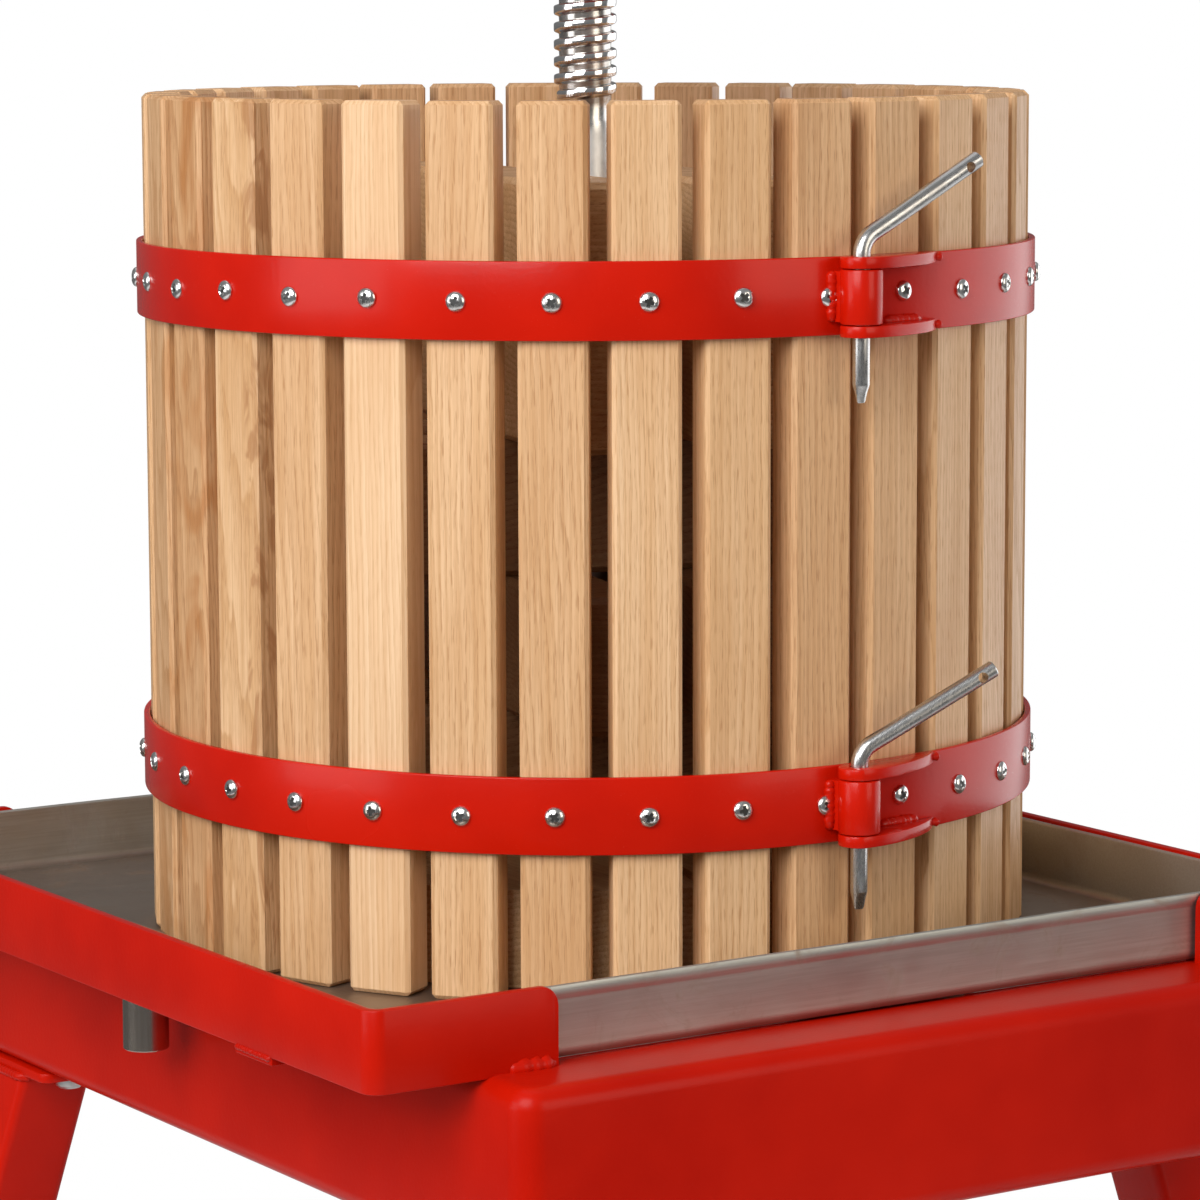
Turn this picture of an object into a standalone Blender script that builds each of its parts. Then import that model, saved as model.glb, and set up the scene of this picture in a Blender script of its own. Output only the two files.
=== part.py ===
"""Basket wine press: a slatted wooden basket in a stainless tray on a four-legged steel frame.

Metres, +Z up. The floor is z = 0 and the press screw stands on the z axis. The left side of
the tray (-X) overhangs the frame and carries the drain.
"""

from math import atan2, cos, hypot, pi, radians, sin, sqrt

import bmesh
import bpy
from mathutils import Matrix, Vector

GAP = 0.0003                    # running gap between neighbouring pieces
TRAY_Z = 0.540                  # upper face of the tray floor

# Basket
STAVES = 32
STAVE_WIDTH = 0.032
STAVE_THICK = 0.020
STAVE_HEIGHT = 0.4125
STAVE_BEVEL = 0.002
STAVE_OUTER = 0.2185            # screw axis to a stave's outer face
SEAM_DEG = -87.7                # direction of the front joint between the basket halves
HOOP_INNER = 0.2195
HOOP_OUTER = 0.2225
HOOP_HEIGHT = 0.0359
HOOP_LEVELS = (("lower", 0.0880), ("upper", 0.3231))
HOOP_SEAM_DEG = 0.3             # half the gap between hoop ends
HOOP_STEPS = 32

# Clasps between the basket halves
PIN_OFFSET_DEG = -2.8           # pin axis, measured from the seam
PIN_ORBIT = 0.2327              # screw axis to pin axis
PIN_RADIUS = 0.0040
PIN_HOLE = 0.0043
BARREL_RADIUS = 0.0098
BARREL_HALF = 0.0126
EAR_INNER = 0.0130
EAR_OUTER = 0.0184
EAR_LIFT = 0.0185                # widest part of an ear, beyond the hoop
EAR_END_DEG = 11.3              # where the ears run out, measured from the seam
PIN_TIP = -0.0485               # below the hoop's centre line
PIN_BEND_Z = 0.0189
PIN_BEND_RADIUS = 0.0110
PIN_ARM_RISE_DEG = 28.0
PIN_ARM_LENGTH = 0.069

# Pressing stack
DISC_RADIUS = 0.186
DISC_THICK = 0.0465
DISC_NOTCH = 0.029
STACK_DEG = 75.0                # direction of the upper blocks
BLOCK_WIDTH = 0.045
BLOCK_LENGTH = 0.300
BLOCK_NEAR = 0.0175             # screw axis to a block's inner face
BLOCK_BEVEL = 0.003
LAYERS = (("a", 0.0470, 0.1134, 90.0), ("b", 0.1137, 0.1800, 0.0),
          ("c", 0.1803, 0.2467, 90.0), ("d", 0.2470, 0.3737, 0.0))

# Screw
SHAFT_RADIUS = 0.0139
CREST_RADIUS = 0.0155
ROOT_RADIUS = 0.01285
PITCH = 0.008467
THREAD_START = 0.4010
THREAD_TURNS = 42
THREAD_STEPS = 12

# Tray
TRAY_X = (-0.2781, 0.2341)      # outer faces of the walls
TRAY_Y = 0.2608
TRAY_SHEET = 0.0015
TRAY_HEIGHT = 0.0322
TRAY_CORNER = 0.010
HEM_DEPTH = 0.0055
HEM_OUT = 0.0013
COLLAR_RADIUS = 0.0255
COLLAR_HEIGHT = 0.030
DRAIN_X = -0.2525
DRAIN_RADIUS = 0.0110
DRAIN_BORE = 0.0095
DRAIN_LOW = -0.0382

# Frame
FRAME_X = (-0.231, 0.222)
FRAME_Y = 0.303
FRAME_TOP = -0.0020
FRAME_LOW = -0.0868
FRAME_WALL = 0.004
FLANGE = 0.045
FRAME_ROUND = 0.0095
FRAME_CORNER = 0.013
BEAM_WIDTH = 0.100
BEAM_LOW = -0.066
BEAM_TOP = -0.005
BEAM_WEB = 0.012
BEAM_SIDE = 0.008
GUARD_LOW = -0.0035
GUARD_TOP = 0.0335
GUARD_THICK = 0.005
GUARD_Y = 0.2677
GUARD_X = (-0.285, 0.241)
GUARD_RETURN = (0.095, 0.0645)
GUARD_BEND = 0.009
GUARD_END_ROUND = 0.008
STRAP_Y = 0.164
STRAP_WIDTH = 0.033

# Legs
LEG_SIZE = 0.042
LEG_WALL = 0.003
LEG_Y = 0.204
LEG_SPLAY = 0.20
LEG_PLATE = (0.042, 0.090, 0.005)
FOOT_PLATE = (0.060, 0.060, 0.005)
FOOT_HOLE = 0.0055

# Head
PLATE_REST = 0.490              # lower face of the thrust plate at rest
PLATE_RADIUS = 0.100
PLATE_THICK = 0.012
PLATE_BOSS = (0.048, 0.008)
PLATE_BORE = 0.0163
NUT_BORE = 0.0159
ARM_HEIGHT = 0.185              # arm axis above the plate's lower face
ARM_REACH = 0.340
ARM_RADIUS = 0.011

RED = (0.72, 0.045, 0.012, 1.0)
OAK = (0.76, 0.58, 0.36, 1.0)
FRUITWOOD = (0.66, 0.45, 0.25, 1.0)
STAINLESS = (0.62, 0.60, 0.57, 1.0)
ZINC = (0.78, 0.78, 0.80, 1.0)


def make_material(name, colour, metallic, roughness):
    material = bpy.data.materials.new(name)
    material.use_nodes = True
    shader = material.node_tree.nodes["Principled BSDF"]
    shader.inputs["Base Color"].default_value = colour
    shader.inputs["Metallic"].default_value = metallic
    shader.inputs["Roughness"].default_value = roughness
    material.diffuse_color = colour
    return material


def make_object(name, bm, finish, origin=(0.0, 0.0, 0.0)):
    """Turn a mesh built in world coordinates into an object whose origin is at the given point."""
    bmesh.ops.translate(bm, vec=-Vector(origin), verts=bm.verts)
    bmesh.ops.remove_doubles(bm, verts=bm.verts, dist=1e-7)
    bmesh.ops.recalc_face_normals(bm, faces=bm.faces)
    mesh = bpy.data.meshes.new(name)
    bm.to_mesh(mesh)
    bm.free()
    item = bpy.data.objects.new(name, mesh)
    item.location = origin
    bpy.context.scene.collection.objects.link(item)
    item.data.materials.append(make_material(name + "_finish", *finish))
    return item


def combine(item, bm, operation):
    """Join a mesh to an object, or cut it away, and apply the result at once."""
    other = make_object(item.name + "_tool", bm, (RED, 0.0, 0.5))
    step = item.modifiers.new("step", "BOOLEAN")
    step.operation = operation
    step.solver = "EXACT"
    step.object = other
    graph = bpy.context.evaluated_depsgraph_get()
    result = bpy.data.meshes.new_from_object(item.evaluated_get(graph))
    item.modifiers.clear()
    old = item.data
    material = old.materials[0]
    item.data = result
    item.data.materials.clear()
    item.data.materials.append(material)
    for face in item.data.polygons:
        face.material_index = 0
    bpy.data.meshes.remove(old)
    bpy.data.objects.remove(other)


def hull(points):
    bm = bmesh.new()
    verts = [bm.verts.new(p) for p in points]
    found = bmesh.ops.convex_hull(bm, input=verts)
    loose = [v for v in found["geom_interior"] if isinstance(v, bmesh.types.BMVert)]
    bmesh.ops.delete(bm, geom=loose, context="VERTS")
    bmesh.ops.dissolve_limit(bm, angle_limit=0.001, verts=bm.verts, edges=bm.edges)
    return bm


def bevelled_box(size, centre, bevel, turn_deg=0.0):
    """A box with every edge chamfered, turned about the vertical through its centre."""
    points = []
    turn = Matrix.Rotation(radians(turn_deg), 3, "Z")
    for sx in (-1, 1):
        for sy in (-1, 1):
            for sz in (-1, 1):
                corner = Vector((sx * size[0] / 2, sy * size[1] / 2, sz * size[2] / 2))
                for axis in range(3):
                    point = corner.copy()
                    for other in range(3):
                        if other != axis:
                            point[other] -= bevel * (1 if corner[other] > 0 else -1)
                    points.append(turn @ point + Vector(centre))
    return hull(points)


def box(low, high):
    points = [(x, y, z) for x in (low[0], high[0]) for y in (low[1], high[1]) for z in (low[2], high[2])]
    return hull(points)


def prism(outline, z0, z1):
    bm = bmesh.new()
    lower = [bm.verts.new((x, y, z0)) for x, y in outline]
    upper = [bm.verts.new((x, y, z1)) for x, y in outline]
    bm.faces.new(lower)
    bm.faces.new(upper)
    for i in range(len(outline)):
        j = (i + 1) % len(outline)
        bm.faces.new((lower[i], lower[j], upper[j], upper[i]))
    return bm


def loft(loops, closed=False):
    """Skin a list of equal vertex loops; an open skin gets an end cap on each end."""
    bm = bmesh.new()
    rows = [[bm.verts.new(p) for p in loop] for loop in loops]
    count = len(rows[0])
    last = len(rows) if closed else len(rows) - 1
    for i in range(last):
        below = rows[i]
        above = rows[(i + 1) % len(rows)]
        for j in range(count):
            k = (j + 1) % count
            bm.faces.new((below[j], below[k], above[k], above[j]))
    if not closed:
        bm.faces.new(rows[0])
        bm.faces.new(rows[-1])
    return bm


def circle(radius, z, steps, centre=(0.0, 0.0)):
    points = []
    for i in range(steps):
        a = 2 * pi * i / steps
        points.append((centre[0] + radius * cos(a), centre[1] + radius * sin(a), z))
    return points


def cylinder(radius, z0, z1, centre=(0.0, 0.0), steps=24):
    return loft([circle(radius, z0, steps, centre), circle(radius, z1, steps, centre)])


def lathe(profile, steps=32):
    """Spin a closed (radius, z) profile round the z axis; it never touches the axis."""
    return loft([circle(r, z, steps) for r, z in profile], closed=True)


def rounded_rectangle(x0, x1, y0, y1, radius, z, steps=4):
    points = []
    corners = ((x1 - radius, y1 - radius, 0), (x0 + radius, y1 - radius, 90),
               (x0 + radius, y0 + radius, 180), (x1 - radius, y0 + radius, 270))
    for cx, cy, start in corners:
        for i in range(steps + 1):
            a = radians(start + 90 * i / steps)
            points.append((cx + radius * cos(a), cy + radius * sin(a), z))
    return points


def polar(radius, degrees):
    return (radius * cos(radians(degrees)), radius * sin(radians(degrees)))


def sweep(points, radius, steps, tip_radius):
    """A round bar along a path in a vertical plane; its first end is drawn down to a point."""
    loops = []
    for i, point in enumerate(points):
        before = points[max(i - 1, 0)]
        after = points[min(i + 1, len(points) - 1)]
        along = (after - before).normalized()
        side = Vector((0, 0, 1)).cross(points[-1] - points[0])
        side.z = 0
        side.normalize()
        up = side.cross(along)
        r = tip_radius if i == 0 else radius
        loop = []
        for j in range(steps):
            a = 2 * pi * j / steps
            loop.append(point + side * (r * cos(a)) + up * (r * sin(a)))
        loops.append(loop)
    return loft(loops)


def build_staves():
    for i in range(STAVES):
        angle = SEAM_DEG + 360 / STAVES * (i + 0.5)
        centre = polar(STAVE_OUTER - STAVE_THICK / 2, angle)
        size = (STAVE_THICK, STAVE_WIDTH, STAVE_HEIGHT)
        middle = (centre[0], centre[1], TRAY_Z + GAP + STAVE_HEIGHT / 2)
        bm = bevelled_box(size, middle, STAVE_BEVEL, angle)
        make_object(f"stave_{i + 1:02d}", bm, (OAK, 0.0, 0.6))


def ear_outline(seam):
    """Plan of one ear: round about the pin, tapering back on to its own hoop."""
    pin = polar(PIN_ORBIT, seam + PIN_OFFSET_DEG)
    out = radians(seam + PIN_OFFSET_DEG)
    points = []
    for i in range(9):
        a = out - radians(200 - 22.5 * i)
        points.append((pin[0] + BARREL_RADIUS * cos(a), pin[1] + BARREL_RADIUS * sin(a)))
    for i in range(1, 7):
        t = i / 6
        lift = EAR_LIFT * (1 - t ** 1.6) ** 0.9 + 0.001
        points.append(polar(HOOP_OUTER + lift, seam + PIN_OFFSET_DEG + (EAR_END_DEG - PIN_OFFSET_DEG) * t))
    for i in range(5):
        points.append(polar(HOOP_INNER + 0.0015, seam + EAR_END_DEG - (EAR_END_DEG - 1.0) * i / 4))
    points.append(polar(HOOP_OUTER + 0.0004, seam + 0.6))
    return points


def build_hoop(name, seam, level):
    """Half a hoop: ears at the end that starts at the seam, a barrel at the other end."""
    z = TRAY_Z + GAP + level
    half = HOOP_HEIGHT / 2
    loops = []
    for i in range(HOOP_STEPS + 1):
        a = seam + HOOP_SEAM_DEG + (180 - 2 * HOOP_SEAM_DEG) * i / HOOP_STEPS
        inner = polar(HOOP_INNER, a)
        outer = polar(HOOP_OUTER, a)
        loops.append([(*inner, z - half), (*outer, z - half), (*outer, z + half), (*inner, z + half)])
    item = make_object(name, loft(loops), (RED, 0.0, 0.3))
    for low, high in ((EAR_INNER, EAR_OUTER), (-EAR_OUTER, -EAR_INNER)):
        combine(item, prism(ear_outline(seam), z + low, z + high), "UNION")
    pin = polar(PIN_ORBIT, seam + PIN_OFFSET_DEG)
    combine(item, cylinder(PIN_HOLE, z - 0.03, z + 0.03, pin, 16), "DIFFERENCE")
    far = seam + 180 + PIN_OFFSET_DEG
    barrel = polar(PIN_ORBIT, far)
    bridge = []
    for r, a in ((HOOP_OUTER - 0.001, far - 2.2), (PIN_ORBIT - 0.002, far - 1.9),
                 (PIN_ORBIT - 0.002, far + 1.9), (HOOP_OUTER - 0.001, far + 2.2)):
        bridge.append(polar(r, a))
    combine(item, prism(bridge, z - BARREL_HALF + 0.0008, z + BARREL_HALF - 0.0008), "UNION")
    combine(item, cylinder(BARREL_RADIUS, z - BARREL_HALF, z + BARREL_HALF, barrel, 24), "UNION")
    combine(item, cylinder(PIN_HOLE, z - 0.03, z + 0.03, barrel, 16), "DIFFERENCE")


def build_pin(name, seam, level, arm_deg):
    """A bent steel rod: chisel tip, upright shank, and an arm that rises to one side."""
    x, y = polar(PIN_ORBIT, seam + PIN_OFFSET_DEG)
    base = Vector((x, y, TRAY_Z + GAP + level))
    away = Vector((*polar(1.0, arm_deg), 0.0))
    up = Vector((0.0, 0.0, 1.0))
    turn = radians(90 - PIN_ARM_RISE_DEG)
    path = [base + up * PIN_TIP, base + up * (PIN_TIP + 0.007), base + up * PIN_BEND_Z]
    centre = base + up * PIN_BEND_Z + away * PIN_BEND_RADIUS
    for i in range(1, 6):
        a = turn * i / 5
        path.append(centre - away * (PIN_BEND_RADIUS * cos(a)) + up * (PIN_BEND_RADIUS * sin(a)))
    along = away * sin(turn) + up * cos(turn)
    end = path[-1] + along * PIN_ARM_LENGTH
    path.append(end)
    item = make_object(name, sweep(path, PIN_RADIUS, 12, 0.0022), (ZINC, 1.0, 0.3), base)
    hole = cylinder(0.0020, -0.01, 0.01, (0.0, 0.0), 14)
    across = along.cross(up).normalized()
    frame = Matrix((across.cross(along), along, across)).transposed().to_4x4()
    frame.translation = end - along * 0.0085
    hole.transform(frame)
    combine(item, hole, "DIFFERENCE")


def build_discs():
    """Two half-moon boards that lie in the bottom of the basket, round the screw."""
    for name, side in (("press_disc_left", 1), ("press_disc_right", -1)):
        along = Vector(polar(1.0, STACK_DEG))
        out = Vector(polar(float(side), STACK_DEG + 90))
        flat = 0.0008
        outline = []
        for i in range(25):
            a = radians(1 + 178 * i / 24)
            outline.append(along * (DISC_RADIUS * cos(a)) + out * (DISC_RADIUS * sin(a) + flat))
        for i in range(9):
            a = radians(180 - 180 * i / 8)
            outline.append(along * (DISC_NOTCH * cos(a)) + out * (DISC_NOTCH * sin(a) + flat))
        bm = prism([tuple(p) for p in outline], TRAY_Z + GAP, TRAY_Z + GAP + DISC_THICK)
        make_object(name, bm, (FRUITWOOD, 0.0, 0.6))


def build_blocks():
    for layer, low, high, turned in LAYERS:
        direction = STACK_DEG + turned
        across = Vector(polar(1.0, direction + 90))
        for number, side in ((1, 1), (2, -1)):
            centre = across * (side * (BLOCK_NEAR + BLOCK_WIDTH / 2))
            size = (BLOCK_LENGTH, BLOCK_WIDTH, high - low)
            middle = (centre.x, centre.y, TRAY_Z + (low + high) / 2)
            bm = bevelled_box(size, middle, BLOCK_BEVEL, direction)
            make_object(f"press_block_{layer}{number}", bm, (FRUITWOOD, 0.0, 0.6))


def build_screw():
    """A fixed post: plain foot and shaft, a shoulder, and a square right-hand thread above."""
    bm = bmesh.new()
    steps = THREAD_STEPS
    start = TRAY_Z + THREAD_START
    profile = ((ROOT_RADIUS, 0.0), (ROOT_RADIUS, 0.40), (CREST_RADIUS, 0.44), (CREST_RADIUS, 0.96))
    total = steps * THREAD_TURNS
    grid = []
    for j in range(total + 1):
        a = 2 * pi * j / steps
        row = []
        for r, lift in profile:
            z = start + PITCH * (j / steps + lift)
            row.append(bm.verts.new((r * cos(a), r * sin(a), z)))
        grid.append(row)
    for j in range(total):
        for k in range(3):
            bm.faces.new((grid[j][k], grid[j + 1][k], grid[j + 1][k + 1], grid[j][k + 1]))
        if j + steps < total:
            bm.faces.new((grid[j][3], grid[j + 1][3], grid[j + 1 + steps][0], grid[j + steps][0]))
    shaft_low = TRAY_Z - 0.046
    rings = []
    for r, z in ((SHAFT_RADIUS - 0.001, shaft_low), (SHAFT_RADIUS, shaft_low + 0.001),
                 (SHAFT_RADIUS, TRAY_Z + BEAM_TOP + GAP), (0.022, TRAY_Z + BEAM_TOP + GAP),
                 (0.022, TRAY_Z + 0.006), (SHAFT_RADIUS, TRAY_Z + 0.008),
                 (SHAFT_RADIUS, start - 0.004), (ROOT_RADIUS, start - 0.002)):
        rings.append([bm.verts.new(p) for p in circle(r, z, steps)])
    bm.faces.new(rings[0])
    for lower, upper in zip(rings, rings[1:]):
        for j in range(steps):
            k = (j + 1) % steps
            bm.faces.new((lower[j], lower[k], upper[k], upper[j]))
    last = rings[-1]
    for j in range(steps):
        k = (j + 1) % steps
        bm.faces.new((last[j], last[k], grid[j + 1][0], grid[j][0]))
    bm.faces.new((last[0], grid[0][0], grid[0][1], grid[0][2], grid[0][3], grid[steps][0]))
    top = start + PITCH * (THREAD_TURNS + 1) + 0.004
    upper = [bm.verts.new(p) for p in circle(CREST_RADIUS, top, steps)]
    first = total - steps
    for j in range(steps):
        k = (j + 1) % steps
        bm.faces.new((grid[first + j][3], grid[first + j + 1][3], upper[k], upper[j]))
    bm.faces.new((upper[0], grid[first][3], grid[total][0], grid[total][1], grid[total][2], grid[total][3]))
    tip = [bm.verts.new(p) for p in circle(CREST_RADIUS - 0.003, top + 0.003, steps)]
    for j in range(steps):
        k = (j + 1) % steps
        bm.faces.new((upper[j], upper[k], tip[k], tip[j]))
    bm.faces.new(tip)
    make_object("press_screw", bm, (ZINC, 1.0, 0.3))


def build_foot_nut():
    high = TRAY_Z + BEAM_TOP - BEAM_WEB - GAP
    item = make_object("screw_foot_nut", loft([circle(0.0265, high - 0.024, 6), circle(0.0265, high, 6)]),
                       (ZINC, 1.0, 0.35))
    combine(item, cylinder(SHAFT_RADIUS + 0.0004, high - 0.03, high + 0.01, (0, 0), 24), "DIFFERENCE")


def tray_loop(inset, height):
    radius = max(TRAY_CORNER - inset, 0.002)
    return rounded_rectangle(TRAY_X[0] + inset, TRAY_X[1] - inset, -TRAY_Y + inset, TRAY_Y - inset,
                             radius, TRAY_Z + height)


def build_tray():
    s = TRAY_SHEET
    loops = [tray_loop(0.003, -s), tray_loop(0.0, 0.0015), tray_loop(0.0, TRAY_HEIGHT - HEM_DEPTH),
             tray_loop(-HEM_OUT, TRAY_HEIGHT - HEM_DEPTH + 0.0004), tray_loop(-HEM_OUT, TRAY_HEIGHT - 0.0012),
             tray_loop(-HEM_OUT + 0.0010, TRAY_HEIGHT), tray_loop(s - 0.0009, TRAY_HEIGHT),
             tray_loop(s, TRAY_HEIGHT - 0.0010), tray_loop(s, 0.0022), tray_loop(0.0042, 0.0)]
    item = make_object("juice_tray", loft(loops), (STAINLESS, 1.0, 0.35))
    combine(item, cylinder(COLLAR_RADIUS, TRAY_Z - 0.0012, TRAY_Z + COLLAR_HEIGHT, (0, 0), 28), "UNION")
    combine(item, cylinder(COLLAR_RADIUS - s, TRAY_Z - 0.01, TRAY_Z + 0.05, (0, 0), 28), "DIFFERENCE")
    drain = (DRAIN_X, 0.0)
    combine(item, cylinder(DRAIN_RADIUS, TRAY_Z + DRAIN_LOW, TRAY_Z - 0.0005, drain, 32), "UNION")
    combine(item, cylinder(DRAIN_BORE, TRAY_Z - 0.06, TRAY_Z + 0.01, drain, 32), "DIFFERENCE")


def frame_loop(inset, height):
    radius = max(FRAME_CORNER - inset, 0.003)
    return rounded_rectangle(FRAME_X[0] + inset, FRAME_X[1] - inset, -FRAME_Y + inset, FRAME_Y - inset,
                             radius, TRAY_Z + height)


def guard_mesh(side):
    """A flat bar bent round one end of the tray, its top corners rounded at both free ends."""
    x_out = GUARD_X[0] if side < 0 else GUARD_X[1]
    reach = GUARD_RETURN[0] if side < 0 else GUARD_RETURN[1]
    centre = (x_out - side * GUARD_BEND, GUARD_Y - GUARD_BEND)
    stations = []
    for s in (0.0, 0.0012, 0.0035, GUARD_END_ROUND):
        stations.append(((x_out - side * (reach - s), -GUARD_Y), (0.0, -1.0), s))
    for corner in (-1, 1):
        for i in range(5):
            a = radians(90 * i / 4 if corner < 0 else 90 - 90 * i / 4)
            normal = (side * sin(a), corner * cos(a))
            point = (centre[0] + GUARD_BEND * normal[0], corner * centre[1] + GUARD_BEND * normal[1])
            stations.append((point, normal, 1.0))
    for s in (GUARD_END_ROUND, 0.0035, 0.0012, 0.0):
        stations.append(((x_out - side * (reach - s), GUARD_Y), (0.0, 1.0), s))
    loops = []
    for point, normal, s in stations:
        away = max(GUARD_END_ROUND - s, 0.0)
        drop = GUARD_END_ROUND - sqrt(max(GUARD_END_ROUND ** 2 - away ** 2, 0.0))
        inner = (point[0] - GUARD_THICK * normal[0], point[1] - GUARD_THICK * normal[1])
        low = TRAY_Z + GUARD_LOW
        high = TRAY_Z + GUARD_TOP - drop
        loops.append([(*inner, low), (*point, low), (*point, high), (*inner, high)])
    return loft(loops)


def build_frame():
    """A welded ring of channel, a beam for the screw, and the two tray guards."""
    t = FRAME_WALL
    r = FRAME_ROUND
    low = FRAME_LOW
    top = FRAME_TOP
    section = [(FLANGE, top)]
    for i in range(4):
        a = radians(30 * i)
        section.append((r - r * sin(a), top - r + r * cos(a)))
    for i in range(4):
        a = radians(30 * i)
        section.append((r - r * cos(a), low + r - r * sin(a)))
    section += [(FLANGE, low), (FLANGE, low + t), (t, low + t), (t, top - t), (FLANGE, top - t)]
    item = make_object("frame", loft([frame_loop(s, z) for s, z in section], closed=True), (RED, 0.0, 0.3))
    beam = prism([(-BEAM_WIDTH / 2, -FRAME_Y + 0.002), (BEAM_WIDTH / 2, -FRAME_Y + 0.002),
                  (BEAM_WIDTH / 2, FRAME_Y - 0.002), (-BEAM_WIDTH / 2, FRAME_Y - 0.002)],
                 TRAY_Z + BEAM_LOW, TRAY_Z + BEAM_TOP)
    combine(item, beam, "UNION")
    half = BEAM_WIDTH / 2 - BEAM_SIDE
    combine(item, box((-half, -FRAME_Y + 0.03, TRAY_Z + BEAM_LOW - 0.01),
                      (half, FRAME_Y - 0.03, TRAY_Z + BEAM_TOP - BEAM_WEB)), "DIFFERENCE")
    combine(item, cylinder(SHAFT_RADIUS + 0.0004, TRAY_Z - 0.03, TRAY_Z + 0.01, (0, 0), 24), "DIFFERENCE")
    for side in (-1, 1):
        combine(item, guard_mesh(side), "UNION")
    for y in (-STRAP_Y, STRAP_Y):
        strap = box((GUARD_X[0] + 0.0006, y - STRAP_WIDTH / 2, TRAY_Z - 0.0073),
                    (FRAME_X[0] + 0.002, y + STRAP_WIDTH / 2, TRAY_Z - 0.0030))
        combine(item, strap, "UNION")


def sheared_box(half, z0, z1, centre, slope, top):
    points = []
    for z in (z0, z1):
        dx = slope[0] * (top - z)
        dy = slope[1] * (top - z)
        for sx in (-half, half):
            for sy in (-half, half):
                points.append((centre[0] + dx + sx, centre[1] + dy + sy, z))
    return hull(points)


def build_legs():
    top = TRAY_Z + FRAME_LOW - GAP
    for name, sx, sy in (("leg_front_left", -1, -1), ("leg_front_right", 1, -1),
                         ("leg_rear_left", -1, 1), ("leg_rear_right", 1, 1)):
        x = FRAME_X[0] + 0.0225 if sx < 0 else FRAME_X[1] - 0.0225
        y = sy * LEG_Y
        slope = (sx * LEG_SPLAY, sy * LEG_SPLAY)
        under = top - LEG_PLATE[2]
        item = make_object(name, box((x - LEG_PLATE[0] / 2, y - LEG_PLATE[1] / 2, under),
                                     (x + LEG_PLATE[0] / 2, y + LEG_PLATE[1] / 2, top)), (RED, 0.0, 0.3))
        combine(item, sheared_box(LEG_SIZE / 2 - 0.0003, 0.001, top - 0.001, (x, y), slope, under), "UNION")
        fx = x + slope[0] * under
        fy = y + slope[1] * under
        combine(item, box((fx - FOOT_PLATE[0] / 2, fy - FOOT_PLATE[1] / 2, 0.0),
                          (fx + FOOT_PLATE[0] / 2, fy + FOOT_PLATE[1] / 2, FOOT_PLATE[2])), "UNION")
        inner = LEG_SIZE / 2 - LEG_WALL
        combine(item, sheared_box(inner, FOOT_PLATE[2] + 0.0001, under - 0.001, (x, y), slope, under),
                "DIFFERENCE")
        combine(item, cylinder(FOOT_HOLE, -0.01, FOOT_PLATE[2] + 0.01, (fx, fy), 32), "DIFFERENCE")


def build_thrust_plate():
    z = TRAY_Z + PLATE_REST
    boss_radius, boss_height = PLATE_BOSS
    profile = ((PLATE_BORE, z), (PLATE_RADIUS - 0.002, z), (PLATE_RADIUS, z + 0.002),
               (PLATE_RADIUS, z + PLATE_THICK - 0.002), (PLATE_RADIUS - 0.002, z + PLATE_THICK),
               (boss_radius + 0.006, z + PLATE_THICK), (boss_radius, z + PLATE_THICK + boss_height),
               (PLATE_BORE, z + PLATE_THICK + boss_height))
    make_object("thrust_plate", lathe(profile), (RED, 0.0, 0.35))


def build_nut():
    """The press nut: a tall hub that turns on the thrust plate, with a handle arm each side."""
    z = TRAY_Z + PLATE_REST + PLATE_THICK + PLATE_BOSS[1] + GAP
    arm = TRAY_Z + PLATE_REST + ARM_HEIGHT
    pilot = NUT_BORE - 0.004
    profile = ((pilot, z), (0.046, z), (0.046, z + 0.014), (0.034, z + 0.026), (0.031, arm - 0.040),
               (0.036, arm - 0.024), (0.036, arm + 0.022), (0.032, arm + 0.030), (pilot, arm + 0.030))
    item = make_object("press_nut", lathe(profile), (RED, 0.0, 0.3))
    reach = ARM_REACH
    spine = ((-reach, 0.010), (-reach + 0.006, 0.0165), (-reach + 0.022, 0.0165), (-reach + 0.032, 0.0095),
             (-0.080, ARM_RADIUS), (-0.040, 0.016), (0.040, 0.016), (0.080, ARM_RADIUS),
             (reach - 0.032, 0.0095), (reach - 0.022, 0.0165), (reach - 0.006, 0.0165), (reach, 0.010))
    loops = []
    for x, r in spine:
        loops.append([(x, r * cos(2 * pi * i / 16), arm + r * sin(2 * pi * i / 16)) for i in range(16)])
    combine(item, loft(loops), "UNION")
    combine(item, cylinder(NUT_BORE, z - 0.01, arm + 0.05, (0, 0), 32), "DIFFERENCE")


def main():
    for item in list(bpy.data.objects):
        bpy.data.objects.remove(item)
    build_staves()
    rear_seam = SEAM_DEG + 180
    for level_name, level in HOOP_LEVELS:
        build_hoop(f"hoop_{level_name}_right", SEAM_DEG, level)
        build_hoop(f"hoop_{level_name}_left", rear_seam, level)
    build_pin("pin_upper_front", SEAM_DEG, HOOP_LEVELS[1][1], 0.4)
    build_pin("pin_lower_front", SEAM_DEG, HOOP_LEVELS[0][1], -15.5)
    build_pin("pin_upper_rear", rear_seam, HOOP_LEVELS[1][1], 176.0)
    build_pin("pin_lower_rear", rear_seam, HOOP_LEVELS[0][1], 168.0)
    build_discs()
    build_blocks()
    build_screw()
    build_foot_nut()
    build_tray()
    build_frame()
    build_legs()
    build_thrust_plate()
    build_nut()


main()
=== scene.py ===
"""Looks of the basket wine press: fine meshes, procedural materials, soft light and the camera.

Everything is in the CAD's own frame, in metres: the floor is z = 0 and the press screw is the z axis.
"""

import random
from math import cos, hypot, pi, radians, sin, sqrt

import bmesh
import bpy
from mathutils import Matrix, Vector


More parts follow.
